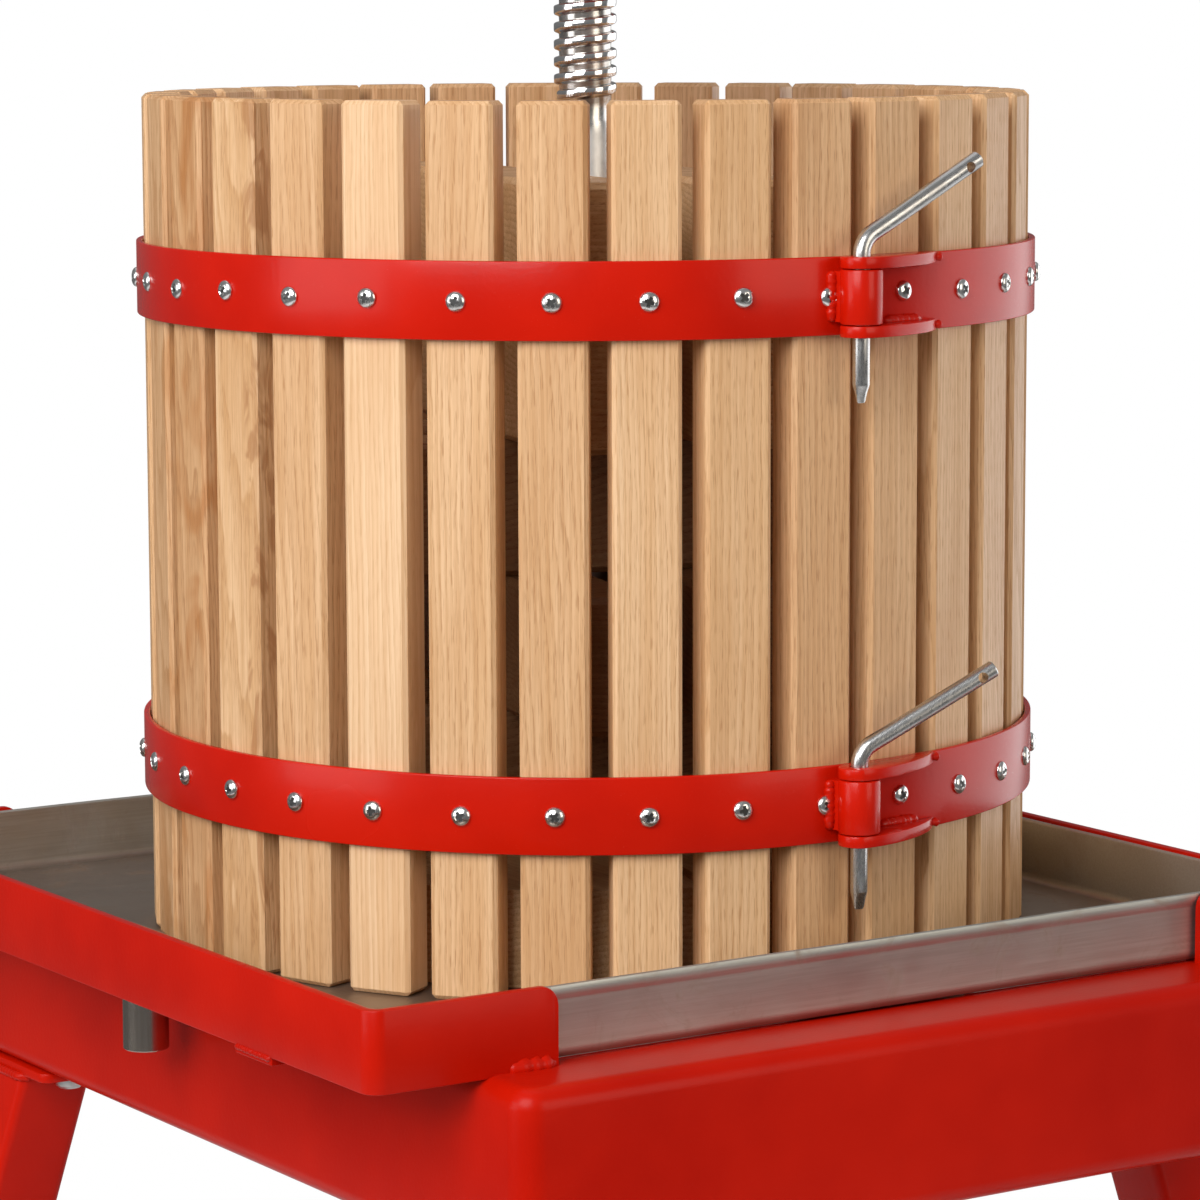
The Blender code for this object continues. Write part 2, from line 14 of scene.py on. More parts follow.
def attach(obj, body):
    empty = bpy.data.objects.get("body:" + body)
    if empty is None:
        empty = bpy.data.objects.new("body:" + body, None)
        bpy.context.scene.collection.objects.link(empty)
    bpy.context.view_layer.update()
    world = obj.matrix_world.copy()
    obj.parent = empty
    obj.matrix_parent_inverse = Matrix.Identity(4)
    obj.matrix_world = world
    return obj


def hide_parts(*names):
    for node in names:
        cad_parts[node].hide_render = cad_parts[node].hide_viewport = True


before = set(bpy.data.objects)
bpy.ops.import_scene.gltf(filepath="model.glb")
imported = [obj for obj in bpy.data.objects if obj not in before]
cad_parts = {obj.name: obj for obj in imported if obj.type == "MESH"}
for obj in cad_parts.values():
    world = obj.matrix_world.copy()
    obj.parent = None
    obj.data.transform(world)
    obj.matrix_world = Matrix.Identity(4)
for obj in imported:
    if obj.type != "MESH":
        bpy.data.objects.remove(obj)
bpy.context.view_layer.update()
rng = random.Random(11)

# Dimensions, most of them shared with the CAD source
TRAY_Z = 0.540
GAP = 0.0003
STAVES = 32
STAVE_OUTER = 0.2185
SEAM_DEG = -87.7
HOOP_INNER = 0.2195
HOOP_OUTER = 0.2225
HOOP_HEIGHT = 0.0359
HOOP_LEVELS = (("lower", 0.0880), ("upper", 0.3231))
HOOP_SEAM_DEG = 0.3
PIN_OFFSET_DEG = -2.8
PIN_ORBIT = 0.2327
PIN_RADIUS = 0.0040
PIN_BORE = 0.0044
PIN_TIP = -0.0485
PIN_BEND_Z = 0.0189
PIN_BEND_RADIUS = 0.0110
PIN_BEND_DEG = 62.0
PIN_ARM_LENGTH = 0.069
PIN_HOLE = 0.0025
BARREL_RADIUS = 0.0098
BARREL_HALF = 0.0126
EAR_INNER = 0.0130
EAR_OUTER = 0.0184
EAR_LIFT = 0.0185
EAR_END_DEG = 11.3
STACK_DEG = 75.0
CREST_RADIUS = 0.0155
ROOT_RADIUS = 0.01285
SHAFT_RADIUS = 0.0139
PITCH = 0.008467
THREAD_START = 0.4010
THREAD_TURNS = 42
TRAY_X = (-0.2781, 0.2341)
TRAY_Y = 0.2608
TRAY_HEIGHT = 0.0322
TRAY_SHEET = 0.0015
TRAY_CORNER = 0.0085
DRAIN = (-0.2525, 0.0)
DRAIN_LOW = -0.0382
FRAME_X = (-0.231, 0.222)
FRAME_Y = 0.303
FRAME_LOW = -0.0868
FRAME_TOP = -0.0020
FRAME_WALL = 0.004
FRAME_FLANGE = 0.045
FRAME_ROUND = 0.0095
FRAME_CORNER = 0.013
BEAM_HALF = (0.042, 0.050)
BEAM_Z = (-0.066, -0.017, -0.005)
GUARD_X = (-0.285, 0.241)
GUARD_Y = 0.2677
GUARD_THICK = 0.005
GUARD_RETURN = (0.095, 0.0645)
GUARD_BEND = 0.009
GUARD_END_ROUND = 0.008
GUARD_Z = (-0.0035, 0.0335)
STRAP_Y = 0.164
STRAP_HALF = 0.0165
LEG_SIZE = 0.042
LEG_IN = 0.0225
LEG_Y = 0.204
LEG_SPLAY = 0.20
LEG_WALL = 0.003
LEG_ROUND = 0.0055
LEG_PLATE_HALF = (0.021, 0.045)
FOOT_HALF = 0.030
FOOT_HOLE = 0.0055
PLATE_THICK = 0.005
BOLT_Y = 0.0325
PLATE_REST = 0.490
ARM_HEIGHT = 0.185
ARM_REACH = 0.340
PLATE_BORE = 0.0163
NUT_BORE = 0.0159


# ---------------------------------------------------------------- node helpers

class Graph:
    """Short calls for building a node tree; every call returns an output socket."""

    def __init__(self, tree):
        self.tree = tree

    def add(self, kind, **settings):
        item = self.tree.nodes.new(kind)
        for key, value in settings.items():
            setattr(item, key, value)
        return item

    def put(self, socket, value):
        if isinstance(value, bpy.types.NodeSocket):
            self.tree.links.new(value, socket)
        else:
            socket.default_value = value

    def fill(self, item, **values):
        for name, value in values.items():
            self.put(item.inputs[name.replace("_", " ")], value)

    def math(self, operation, a, b=0.0, c=0.0):
        item = self.add("ShaderNodeMath", operation=operation)
        for socket, value in zip(item.inputs, (a, b, c)):
            self.put(socket, value)
        return item.outputs[0]

    def times(self, a, b):
        return self.math("MULTIPLY", a, b)

    def scaled(self, value, factor, offset):
        return self.math("MULTIPLY_ADD", value, factor, offset)

    def length(self, x, y):
        return self.math("SQRT", self.math("ADD", self.times(x, x), self.times(y, y)))

    def mapping(self, vector, scale=(1, 1, 1), rotation=(0, 0, 0), location=(0, 0, 0)):
        item = self.add("ShaderNodeMapping")
        self.fill(item, Vector=vector, Scale=scale, Rotation=rotation, Location=location)
        return item.outputs[0]

    def noise(self, vector, scale, detail=2.0, rough=0.5, distortion=0.0):
        item = self.add("ShaderNodeTexNoise")
        self.fill(item, Vector=vector, Scale=scale, Detail=detail, Roughness=rough, Distortion=distortion)
        return item.outputs["Fac"]

    def step(self, value, low, high, out_low=0.0, out_high=1.0):
        item = self.add("ShaderNodeMapRange", interpolation_type="SMOOTHSTEP")
        self.fill(item, Value=value, From_Min=low, From_Max=high, To_Min=out_low, To_Max=out_high)
        return item.outputs[0]

    def mix(self, factor, a, b, blend="MIX"):
        item = self.add("ShaderNodeMix", data_type="RGBA", blend_type=blend)
        self.put(item.inputs[0], factor)
        self.put(item.inputs[6], a)
        self.put(item.inputs[7], b)
        return item.outputs[2]

    def split(self, vector):
        item = self.add("ShaderNodeSeparateXYZ")
        self.put(item.inputs[0], vector)
        return item.outputs

    def bump(self, height, distance, strength=1.0):
        item = self.add("ShaderNodeBump")
        self.fill(item, Distance=distance, Strength=strength, Height=height)
        return item.outputs[0]


def new_material(name, **fixed):
    material = bpy.data.materials.new(name)
    material.use_nodes = True
    graph = Graph(material.node_tree)
    shader = material.node_tree.nodes["Principled BSDF"]
    graph.fill(shader, **fixed)
    where = graph.add("ShaderNodeTexCoord").outputs["Object"]
    return material, graph, shader, where


def surface(g, shader, colour, roughness, height, distance, strength):
    g.fill(shader, Base_Color=colour, Roughness=roughness, Normal=g.bump(height, distance, strength))


# ---------------------------------------------------------------- materials

def grey(v, tint=(1.0, 1.0, 1.0)):
    return (v * tint[0], v * tint[1], v * tint[2], 1.0)


def wood(name, angle, centre, seed, pith, tilt, ring, palette, pores=1.0, contrast=1.0, roughness=0.45,
         marks=None):
    """Ring-porous timber. Local x is the face's depth, y runs across it and z along the grain."""
    material, g, shader, where = new_material(name, Roughness=roughness, IOR=1.45)
    turned = g.mapping(where, rotation=(0.0, 0.0, -angle))
    local = g.mapping(turned, location=(-centre[0], -centre[1], -centre[2]))
    place = g.mapping(local, location=(seed * 1.37, seed * 0.71, seed * 2.13))
    x, y, z = g.split(local)

    def stretched(along, scale, detail, rough, distortion=0.0, depth=1.0):
        return g.noise(g.mapping(place, scale=(depth, 1.0, along)), scale, detail, rough, distortion)

    wander = stretched(0.16, 26.0, 3.0, 0.55)
    ripple = stretched(0.30, 110.0, 2.0, 0.5)
    dx = g.math("SUBTRACT", x, g.scaled(z, tilt[0], pith[0]))
    dy = g.math("SUBTRACT", y, g.scaled(z, tilt[1], pith[1]))
    distance = g.length(dx, dy)
    distance = g.math("ADD", distance, g.times(wander, 0.012))
    distance = g.math("ADD", distance, g.times(ripple, 0.0012))
    phase = g.math("FRACT", g.math("DIVIDE", distance, ring))
    early = g.math("POWER", g.math("SUBTRACT", 1.0, phase), 2.0)
    early = g.times(early, g.step(phase, 0.0, 0.10))
    fibre = stretched(0.012, 620.0, 3.0, 0.6)
    streak = stretched(0.02, 150.0, 2.0, 0.5)
    cloud = stretched(0.22, 32.0, 2.0, 0.5)
    dash = stretched(0.060, 1900.0, 1.0, 0.4)
    pore = g.times(g.step(dash, 0.52, 0.68), g.step(early, 0.05, 0.55, 0.40, 1.0))
    ray = stretched(0.11, 420.0, 1.0, 0.4, depth=0.35)
    light, middle, dark, deep = palette
    colour = g.mix(g.step(streak, 0.30, 0.72), light, middle)
    colour = g.mix(g.times(g.step(cloud, 0.42, 0.80), 0.50), colour, dark)
    colour = g.mix(g.times(early, 0.58 * contrast), colour, dark)
    colour = g.mix(g.times(g.step(fibre, 0.40, 0.70), 0.46 * contrast), colour, dark)
    colour = g.mix(g.times(g.step(ray, 0.66, 0.78), 0.22), colour, light)
    if marks:
        # Patches of brown heart, from one place across the face outwards
        edge, brown, scale, low = marks
        patch = stretched(0.30, scale, 3.0, 0.6, 0.8)
        share = g.times(g.step(patch, low, low + 0.12), g.step(y, edge, edge + 0.003))
        colour = g.mix(g.times(share, 0.65), colour, brown)
    tick = tuple(0.6 * p + 0.4 * q for p, q in zip(dark, deep))
    colour = g.mix(g.times(pore, 0.66 * pores), colour, tick)
    rough = g.scaled(pore, 0.22, g.scaled(fibre, 0.14, roughness - 0.07))
    height = g.scaled(pore, -1.0 * pores, g.times(fibre, 0.35))
    height = g.scaled(early, -0.20, height)
    surface(g, shader, colour, rough, height, 0.00012, 0.7)
    return material


def paint(name, colour, roughness=0.24, gloss=0.20):
    """Gloss enamel with a faint orange peel, uneven film and a little dust."""
    material, g, shader, where = new_material(name, IOR=1.5)
    shader.inputs["Specular IOR Level"].default_value = gloss
    shader.inputs["Coat Weight"].default_value = gloss - 0.14
    shader.inputs["Coat Roughness"].default_value = 0.08
    film = g.noise(where, 9.0, 3.0, 0.6)
    peel = g.noise(where, 420.0, 2.0, 0.5)
    dust = g.noise(where, 1500.0, 1.0, 0.5)
    deep = (colour[0] * 0.80, colour[1] * 0.70, colour[2] * 0.70, 1.0)
    bright = (min(colour[0] * 1.06, 1.0), colour[1] * 1.25, colour[2] * 1.2, 1.0)
    shade = g.mix(g.step(film, 0.20, 0.80), deep, bright)
    speck = g.times(g.step(dust, 0.72, 0.80), 0.03)
    shade = g.mix(speck, shade, (0.75, 0.42, 0.36, 1.0))
    rough = g.scaled(film, 0.12, roughness - 0.05)
    surface(g, shader, shade, g.scaled(speck, 1.6, rough), peel, 0.00012, 0.55)
    return material


def sheet_steel(name, base, rough, grain=(1.0, 90.0, 90.0), stain=(0.36, 0.30, 0.24, 1.0), stain_share=0.35):
    """Rolled stainless sheet: fine grain lines, cloudy wear and dried smears."""
    material, g, shader, where = new_material(name, Metallic=1.0)
    line = g.noise(g.mapping(where, scale=grain), 22.0, 4.0, 0.7)
    fine = g.noise(g.mapping(where, scale=(grain[0] * 3, grain[1] * 3, grain[2] * 3)), 22.0, 2.0, 0.6)
    cloud = g.noise(where, 11.0, 4.0, 0.6, 0.6)
    smear = g.noise(where, 34.0, 4.0, 0.65, 1.2)
    colour = g.mix(g.step(line, 0.3, 0.7), grey(base * 0.90, (1.0, 1.0, 0.92)),
                   grey(base * 1.03, (1.0, 1.01, 0.95)))
    share = g.times(g.step(smear, 0.50, 0.72), stain_share)
    share = g.times(share, g.step(cloud, 0.35, 0.65, 0.3, 1.0))
    colour = g.mix(share, colour, stain)
    # Painted shade and reflection: the tray floor's height and everything below it is darkened towards brown,
    # for the floor in shade mirroring the staves
    flat = g.step(g.split(where)[2], TRAY_Z + 0.0030, TRAY_Z + 0.0005, 0.0, 0.60)
    colour = g.mix(flat, colour, (0.22, 0.125, 0.075, 1.0))
    roughness = g.scaled(g.step(cloud, 0.3, 0.7), 0.12, rough - 0.06)
    roughness = g.scaled(line, 0.08, roughness)
    roughness = g.scaled(share, 0.3, roughness)
    height = g.math("ADD", g.times(line, 0.7), g.times(fine, 0.3))
    surface(g, shader, colour, roughness, height, 0.00003, 0.6)
    return material


def plated(name, base, rough, worn=0.25):
    """Zinc or nickel plate: bright, with fine handling scratches and duller patches."""
    material, g, shader, where = new_material(name, Metallic=1.0)
    cloud = g.noise(where, 60.0, 3.0, 0.6)
    scratch = g.noise(g.mapping(where, rotation=(0.5, 0.3, 0.9), scale=(1.0, 14.0, 1.0)), 260.0, 2.0, 0.6)
    pit = g.noise(where, 900.0, 1.0, 0.5)
    colour = g.mix(g.step(cloud, 0.35, 0.7), grey(base), grey(base * 0.82, (1.0, 0.99, 0.96)))
    colour = g.mix(g.times(g.step(pit, 0.66, 0.78), worn), colour, grey(base * 0.45))
    roughness = g.scaled(g.step(scratch, 0.4, 0.7), 0.10, rough)
    roughness = g.scaled(g.step(cloud, 0.4, 0.7), 0.06, roughness)
    surface(g, shader, colour, roughness, g.math("ADD", scratch, pit), 0.00002, 0.5)
    return material


def threaded(name):
    """Bright crests, slightly duller roots darkened with painted shade, a dull shaft, and fine turned lines
    all over.
    """
    material, g, shader, where = new_material(name, Metallic=1.0)
    x, y, z = g.split(where)
    radius = g.length(x, y)
    crest = g.step(radius, ROOT_RADIUS + 0.0004, CREST_RADIUS - 0.0004)
    upper = g.step(z, TRAY_Z + THREAD_START - 0.012, TRAY_Z + THREAD_START)
    cloud = g.noise(where, 70.0, 3.0, 0.6)
    turned = g.noise(g.mapping(where, scale=(0.2, 0.2, 5.0)), 380.0, 2.0, 0.6)
    # Painted shade: the roots between the crests are darker
    shaded_root = g.mix(g.step(cloud, 0.35, 0.65), (0.52, 0.50, 0.47, 1.0), (0.84, 0.82, 0.80, 1.0))
    bright = g.mix(g.step(turned, 0.35, 0.7), grey(0.86), grey(0.96))
    colour = g.mix(crest, shaded_root, bright)
    dull = g.mix(g.step(cloud, 0.4, 0.7), grey(0.78, (1.0, 0.98, 0.95)), grey(0.58, (1.0, 0.97, 0.93)))
    rough = g.scaled(crest, -0.10, 0.20)
    rough = g.scaled(g.step(cloud, 0.4, 0.7), 0.08, rough)
    rough = g.step(upper, 0.0, 1.0, 0.42, rough)
    surface(g, shader, g.mix(upper, dull, colour), rough, turned, 0.00003, 0.6)
    return material


RED = paint("red_enamel", (0.60, 0.0085, 0.0008))
RED_FRAME = paint("red_enamel_frame", (0.55, 0.0075, 0.0007), 0.30, 0.14)
STEEL_WALL = sheet_steel("tray_sheet", 0.54, 0.44, (1.0, 40.0, 40.0), (0.36, 0.24, 0.16, 1.0), 0.55)
ZINC = plated("bright_zinc", 0.84, 0.16)
PIN_STEEL = plated("pin_zinc", 0.62, 0.24, 0.4)
ZINC_DULL = plated("dull_zinc", 0.66, 0.30, 0.5)
# Painted shade: near-black metal for the floors of the screw heads' cross recesses
RECESS_SHADE = plated("screw_recess_painted_shade", 0.10, 0.45, 0.5)
SCREW_STEEL = threaded("screw_steel")


def timber(*tones):
    """The light, middle, dark and deep colours of a wood."""
    return [(red, green, blue, 1.0) for red, green, blue in tones]


OAK = timber((0.820, 0.545, 0.315), (0.760, 0.475, 0.250), (0.560, 0.290, 0.115), (0.320, 0.130, 0.045))
TAN = timber((0.720, 0.430, 0.220), (0.640, 0.350, 0.160), (0.440, 0.200, 0.075), (0.240, 0.090, 0.030))
CREAM = timber((0.900, 0.640, 0.405), (0.860, 0.580, 0.345), (0.700, 0.400, 0.190), (0.420, 0.190, 0.070))
PRESS = timber((0.640, 0.390, 0.180), (0.560, 0.310, 0.120), (0.380, 0.170, 0.055), (0.200, 0.080, 0.025))
# A near-black brown that paints shade onto the lower press blocks
PAINTED_SHADE_WOOD = timber((0.300, 0.130, 0.050), (0.240, 0.095, 0.035), (0.150, 0.050, 0.018), (0.080, 0.025, 0.010))


def blended(a, b, t):
    return [tuple(p + (q - p) * t for p, q in zip(c, d)) for c, d in zip(a, b)]


# ---------------------------------------------------------------- mesh helpers

def link(item):
    bpy.context.scene.collection.objects.link(item)
    return item


def as_mesh(name, bm):
    mesh = bpy.data.meshes.new(name)
    bm.to_mesh(mesh)
    bm.free()
    return mesh


def publish(name, bm, material, body, replaces=(), sharp=35.0):
    """Make the object for a piece, smooth it up to the sharp angle, and hang it on its body."""
    bmesh.ops.remove_doubles(bm, verts=bm.verts, dist=1e-6)
    bmesh.ops.recalc_face_normals(bm, faces=bm.faces)
    mesh = as_mesh(name, bm)
    item = link(bpy.data.objects.new(name, mesh))
    for m in material if isinstance(material, tuple) else (material,):
        mesh.materials.append(m)
    mesh.shade_smooth()
    mesh.set_sharp_from_angle(angle=radians(sharp))
    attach(item, body)
    if replaces:
        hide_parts(*replaces)
    return item


def publish_frame(name, bm, sharp=35.0, replaces=()):
    return publish(name, bm, RED_FRAME, "stand", replaces, sharp)


def bevel(item, width, segments=2, angle=32.0):
    step = item.modifiers.new("edge", "BEVEL")
    step.width = width
    step.segments = segments
    step.limit_method = "ANGLE"
    step.angle_limit = radians(angle)
    step.harden_normals = True


def dress(node, material, width):
    """Give a CAD node its finished material and rounder edges."""
    node.data.materials.clear()
    node.data.materials.append(material)
    for face in node.data.polygons:
        face.use_smooth = True
    bevel(node, width, 3, 20.0)


def boolean(bm, cutter, operation="DIFFERENCE"):
    """Cut one mesh from another, or join them, and return the result as a new mesh."""
    made = []
    for source in (bm, cutter):
        bmesh.ops.recalc_face_normals(source, faces=source.faces)
        made.append(link(bpy.data.objects.new("work", as_mesh("work", source))))
    step = made[0].modifiers.new("cut", "BOOLEAN")
    step.operation = operation
    step.solver = "EXACT"
    step.object = made[1]
    graph = bpy.context.evaluated_depsgraph_get()
    result = bmesh.new()
    result.from_mesh(made[0].evaluated_get(graph).to_mesh())
    for item in made:
        mesh = item.data
        bpy.data.objects.remove(item)
        bpy.data.meshes.remove(mesh)
    return result


def add_mesh(target, source):
    """Append one mesh to another and free the source."""
    bmesh.ops.recalc_face_normals(source, faces=source.faces)
    mesh = as_mesh("part", source)
    target.from_mesh(mesh)
    bpy.data.meshes.remove(mesh)
    return target


def skin(bm, below, above):
    """A band of faces between two closed loops."""
    for j in range(len(below)):
        k = (j + 1) % len(below)
        bm.faces.new((below[j], below[k], above[k], above[j]))


def loft(loops, closed=False):
    bm = bmesh.new()
    rows = [[bm.verts.new(p) for p in loop] for loop in loops]
    for i in range(len(rows) if closed else len(rows) - 1):
        skin(bm, rows[i], rows[(i + 1) % len(rows)])
    if not closed:
        bm.faces.new(rows[0])
        bm.faces.new(rows[-1])
    return bm


def circle(radius, z, steps, centre=(0.0, 0.0)):
    return [(centre[0] + radius * cos(2 * pi * i / steps), centre[1] + radius * sin(2 * pi * i / steps), z)
            for i in range(steps)]


def rectangle(half_x, half_y, z):
    return [(-half_x, -half_y, z), (half_x, -half_y, z), (half_x, half_y, z), (-half_x, half_y, z)]


def raised(profile, z):
    """Pairs of radius and height, with every height lifted by z."""
    return [(radius, z + height) for radius, height in profile]


def lathe(profile, steps=48, centre=(0.0, 0.0)):
    return loft([circle(r, z, steps, centre) for r, z in profile], closed=True)


def turned_solid(profile, steps=32, centre=(0.0, 0.0)):
    return loft([circle(r, z, steps, centre) for r, z in profile])


def prism(outline, z0, z1, edge=0.0):
    """A plate of any outline; with an edge size its top and bottom rims are chamfered inwards."""
    rims = [(outline, z0), (outline, z1)]
    if edge:
        inner, mid = shrink(outline, edge), shrink(outline, edge * 0.3)
        rims = [(inner, z0), (mid, z0 + edge * 0.3), (outline, z0 + edge), (outline, z1 - edge),
                (mid, z1 - edge * 0.3), (inner, z1)]
    return loft([[(x, y, z) for x, y in rim] for rim, z in rims])


def shrink(outline, distance):
    """Move every point of a closed outline inwards by about that distance."""
    count = len(outline)
    area = sum(outline[i][0] * outline[(i + 1) % count][1] - outline[(i + 1) % count][0] * outline[i][1]
               for i in range(count))
    side = 1.0 if area > 0 else -1.0
    result = []
    for i in range(count):
        ax, ay = outline[i - 1]
        bx, by = outline[(i + 1) % count]
        dx, dy = bx - ax, by - ay
        size = hypot(dx, dy) or 1.0
        x, y = outline[i]
        result.append((x - side * dy / size * distance, y + side * dx / size * distance))
    return result


def rounded_rectangle(x0, x1, y0, y1, radius, z, steps=8, along=1):
    """A loop round a rectangle with rounded corners and extra points along its straight sides."""
    corners = ((x1 - radius, y1 - radius, 0), (x0 + radius, y1 - radius, 90),
               (x0 + radius, y0 + radius, 180), (x1 - radius, y0 + radius, 270))
    points = []
    for index, (cx, cy, start) in enumerate(corners):
        for i in range(steps + 1):
            a = radians(start + 90 * i / steps)
            points.append((cx + radius * cos(a), cy + radius * sin(a), z))
        nx, ny, nstart = corners[(index + 1) % 4]
        a = radians(nstart)
        end = (nx + radius * cos(a), ny + radius * sin(a))
        begin = points[-1]
        for i in range(1, along):
            t = i / along
            points.append((begin[0] + (end[0] - begin[0]) * t, begin[1] + (end[1] - begin[1]) * t, z))
    return points


def polar(radius, degrees, z=None):
    x, y = radius * cos(radians(degrees)), radius * sin(radians(degrees))
    return (x, y) if z is None else (x, y, z)


def tube(points, radii, steps=16, flat=None):
    """A round bar along a 3-D path; flat squeezes each loop along its local second axis."""
    loops = []
    ref = Vector((0.0, 0.0, 1.0))
    first = (points[1] - points[0]).normalized()
    if abs(first.dot(ref)) > 0.95:
        span = points[-1] - points[0]
        ref = Vector((-span.y, span.x, 0.0)) if hypot(span.x, span.y) > 1e-6 else Vector((1.0, 0.0, 0.0))
    side = first.cross(ref).normalized()
    for i, point in enumerate(points):
        along = (points[min(i + 1, len(points) - 1)] - points[max(i - 1, 0)]).normalized()
        side = (side - along * side.dot(along)).normalized()
        up = along.cross(side)
        r = radii[i] if isinstance(radii, (list, tuple)) else radii
        squeeze = flat[i] if flat else 1.0
        turns = [2 * pi * j / steps for j in range(steps)]
        loops.append([point + side * (r * cos(a)) + up * (r * squeeze * sin(a)) for a in turns])
    return loft(loops)


def weld(points, radius, seed):
    """A weld bead: a thin lumpy bar with ripples along it."""
    mixer = random.Random(seed)
    fine = []
    for a, b in zip(points, points[1:]):
        count = max(2, int((b - a).length / (radius * 0.42)))
        fine += [a.lerp(b, i / count) for i in range(count)]
    fine.append(points[-1])
    radii = []
    for i in range(len(fine)):
        ripple = 1.0 + 0.13 * sin(i * 2.1) + mixer.uniform(-0.07, 0.07)
        end = min(1.0, 0.45 + 0.3 * min(i, len(fine) - 1 - i))
        radii.append(radius * ripple * end)
    path = [p + Vector([mixer.uniform(-0.05, 0.05) * radius for _ in range(3)]) for p in fine]
    return tube(path, radii, 10)


def box_mesh(low, high):
    x0, y0, z0 = low
    x1, y1, z1 = high
    return loft([[(x0, y0, z), (x1, y0, z), (x1, y1, z), (x0, y1, z)] for z in (z0, z1)])


def facing(origin, normal, spin=0.0):
    """A frame whose z axis is the normal, at the origin, turned by spin about that normal."""
    z = Vector(normal).normalized()
    x = Vector((0.0, 0.0, 1.0)).cross(z)
    x = x.normalized() if x.length > 1e-6 else Vector((1.0, 0.0, 0.0))
    y = z.cross(x)
    m = Matrix((x, y, z)).transposed().to_4x4()
    m.translation = Vector(origin)
    return m @ Matrix.Rotation(spin, 4, "Z")


# ---------------------------------------------------------------- basket staves

# How each stave was sawn: tone from 0, cream, through 0.5, oak, to 1, tan; then the cut
STAVE_TONES = {22: 0.75, 23: 0.86, 24: 0.50, 25: 0.62, 26: 0.20, 27: 0.56, 28: 0.66, 29: 0.38,
               30: 0.50, 31: 0.80, 0: 0.62, 1: 0.50, 2: 0.62, 3: 0.60}
STAVE_CUTS = {22: "flat", 23: "flat", 24: "flat", 25: "rift", 26: "quarter", 27: "rift", 28: "rift",
              29: "quarter", 30: "rift", 31: "rift", 0: "rift", 1: "quarter"}

# Brown marks on a stave: where across its face they start, their colour, the noise's scale and its threshold
STAVE_MARKS = {22: (-0.020, (0.50, 0.22, 0.070, 1.0), 30.0, 0.56),
               23: (-0.020, (0.46, 0.17, 0.040, 1.0), 26.0, 0.52),
               24: (0.0065, (0.40, 0.17, 0.060, 1.0), 85.0, 0.50)}


def make_staves():
    for i in range(STAVES):
        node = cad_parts[f"stave_{i + 1:02d}"]
        angle = SEAM_DEG + 360 / STAVES * (i + 0.5)
        tone = STAVE_TONES.get(i, rng.uniform(0.25, 0.80))
        cut = STAVE_CUTS.get(i, rng.choice(("rift", "rift", "quarter", "flat")))
        palette = blended(CREAM, OAK, tone * 2) if tone < 0.5 else blended(OAK, TAN, tone * 2 - 1)
        if cut == "flat":
            pith = (-rng.uniform(0.035, 0.070), rng.uniform(-0.012, 0.012))
            tilt = (rng.choice((-1, 1)) * rng.uniform(0.020, 0.045), rng.uniform(-0.02, 0.02))
        elif cut == "rift":
            pith = (-rng.uniform(0.06, 0.10), rng.choice((-1, 1)) * rng.uniform(0.06, 0.10))
            tilt = (rng.uniform(-0.02, 0.02), rng.uniform(-0.015, 0.015))
        else:
            pith = (rng.uniform(-0.02, 0.02), rng.choice((-1, 1)) * rng.uniform(0.11, 0.16))
            tilt = (0.0, rng.uniform(-0.008, 0.008))
        material = wood(f"oak_{i + 1:02d}", radians(angle), (STAVE_OUTER, 0.0, TRAY_Z + 0.2), i * 3.7 + 1.3,
                        pith, tilt, rng.uniform(0.0019, 0.0030), palette,
                        pores=0.45 if tone < 0.22 else 0.9, contrast=1.35 if cut == "flat" else 1.0,
                        marks=STAVE_MARKS.get(i))
        dress(node, material, 0.0011)


# ---------------------------------------------------------------- hoops, clasps and pins

def ear_outline(seam):
    pin = polar(PIN_ORBIT, seam + PIN_OFFSET_DEG)
    out = radians(seam + PIN_OFFSET_DEG)
    points = []
    for i in range(21):
        a = out - radians(200 - 9.0 * i)
        points.append((pin[0] + BARREL_RADIUS * cos(a), pin[1] + BARREL_RADIUS * sin(a)))
    for i in range(1, 15):
        t = i / 14
        lift = EAR_LIFT * (1 - t ** 1.6) ** 0.9 + 0.001
        points.append(polar(HOOP_OUTER + lift, seam + PIN_OFFSET_DEG + (EAR_END_DEG - PIN_OFFSET_DEG) * t))
    for i in range(7):
        points.append(polar(HOOP_INNER + 0.0015, seam + EAR_END_DEG - (EAR_END_DEG - 1.0) * i / 6))
    points.append(polar(HOOP_OUTER + 0.0004, seam + 0.5))
    return points


def rounded_section(r0, r1, z0, z1, radius):
    """Cross-section of flat bar with rounded long edges, as (radius, z) pairs."""
    points = []
    for cx, cz, start in ((r1 - radius, z1 - radius, 0), (r0 + radius, z1 - radius, 90),
                          (r0 + radius, z0 + radius, 180), (r1 - radius, z0 + radius, 270)):
        for i in range(4):
            a = radians(start + 30 * i)
            points.append((cx + radius * cos(a), cz + radius * sin(a)))
    return points


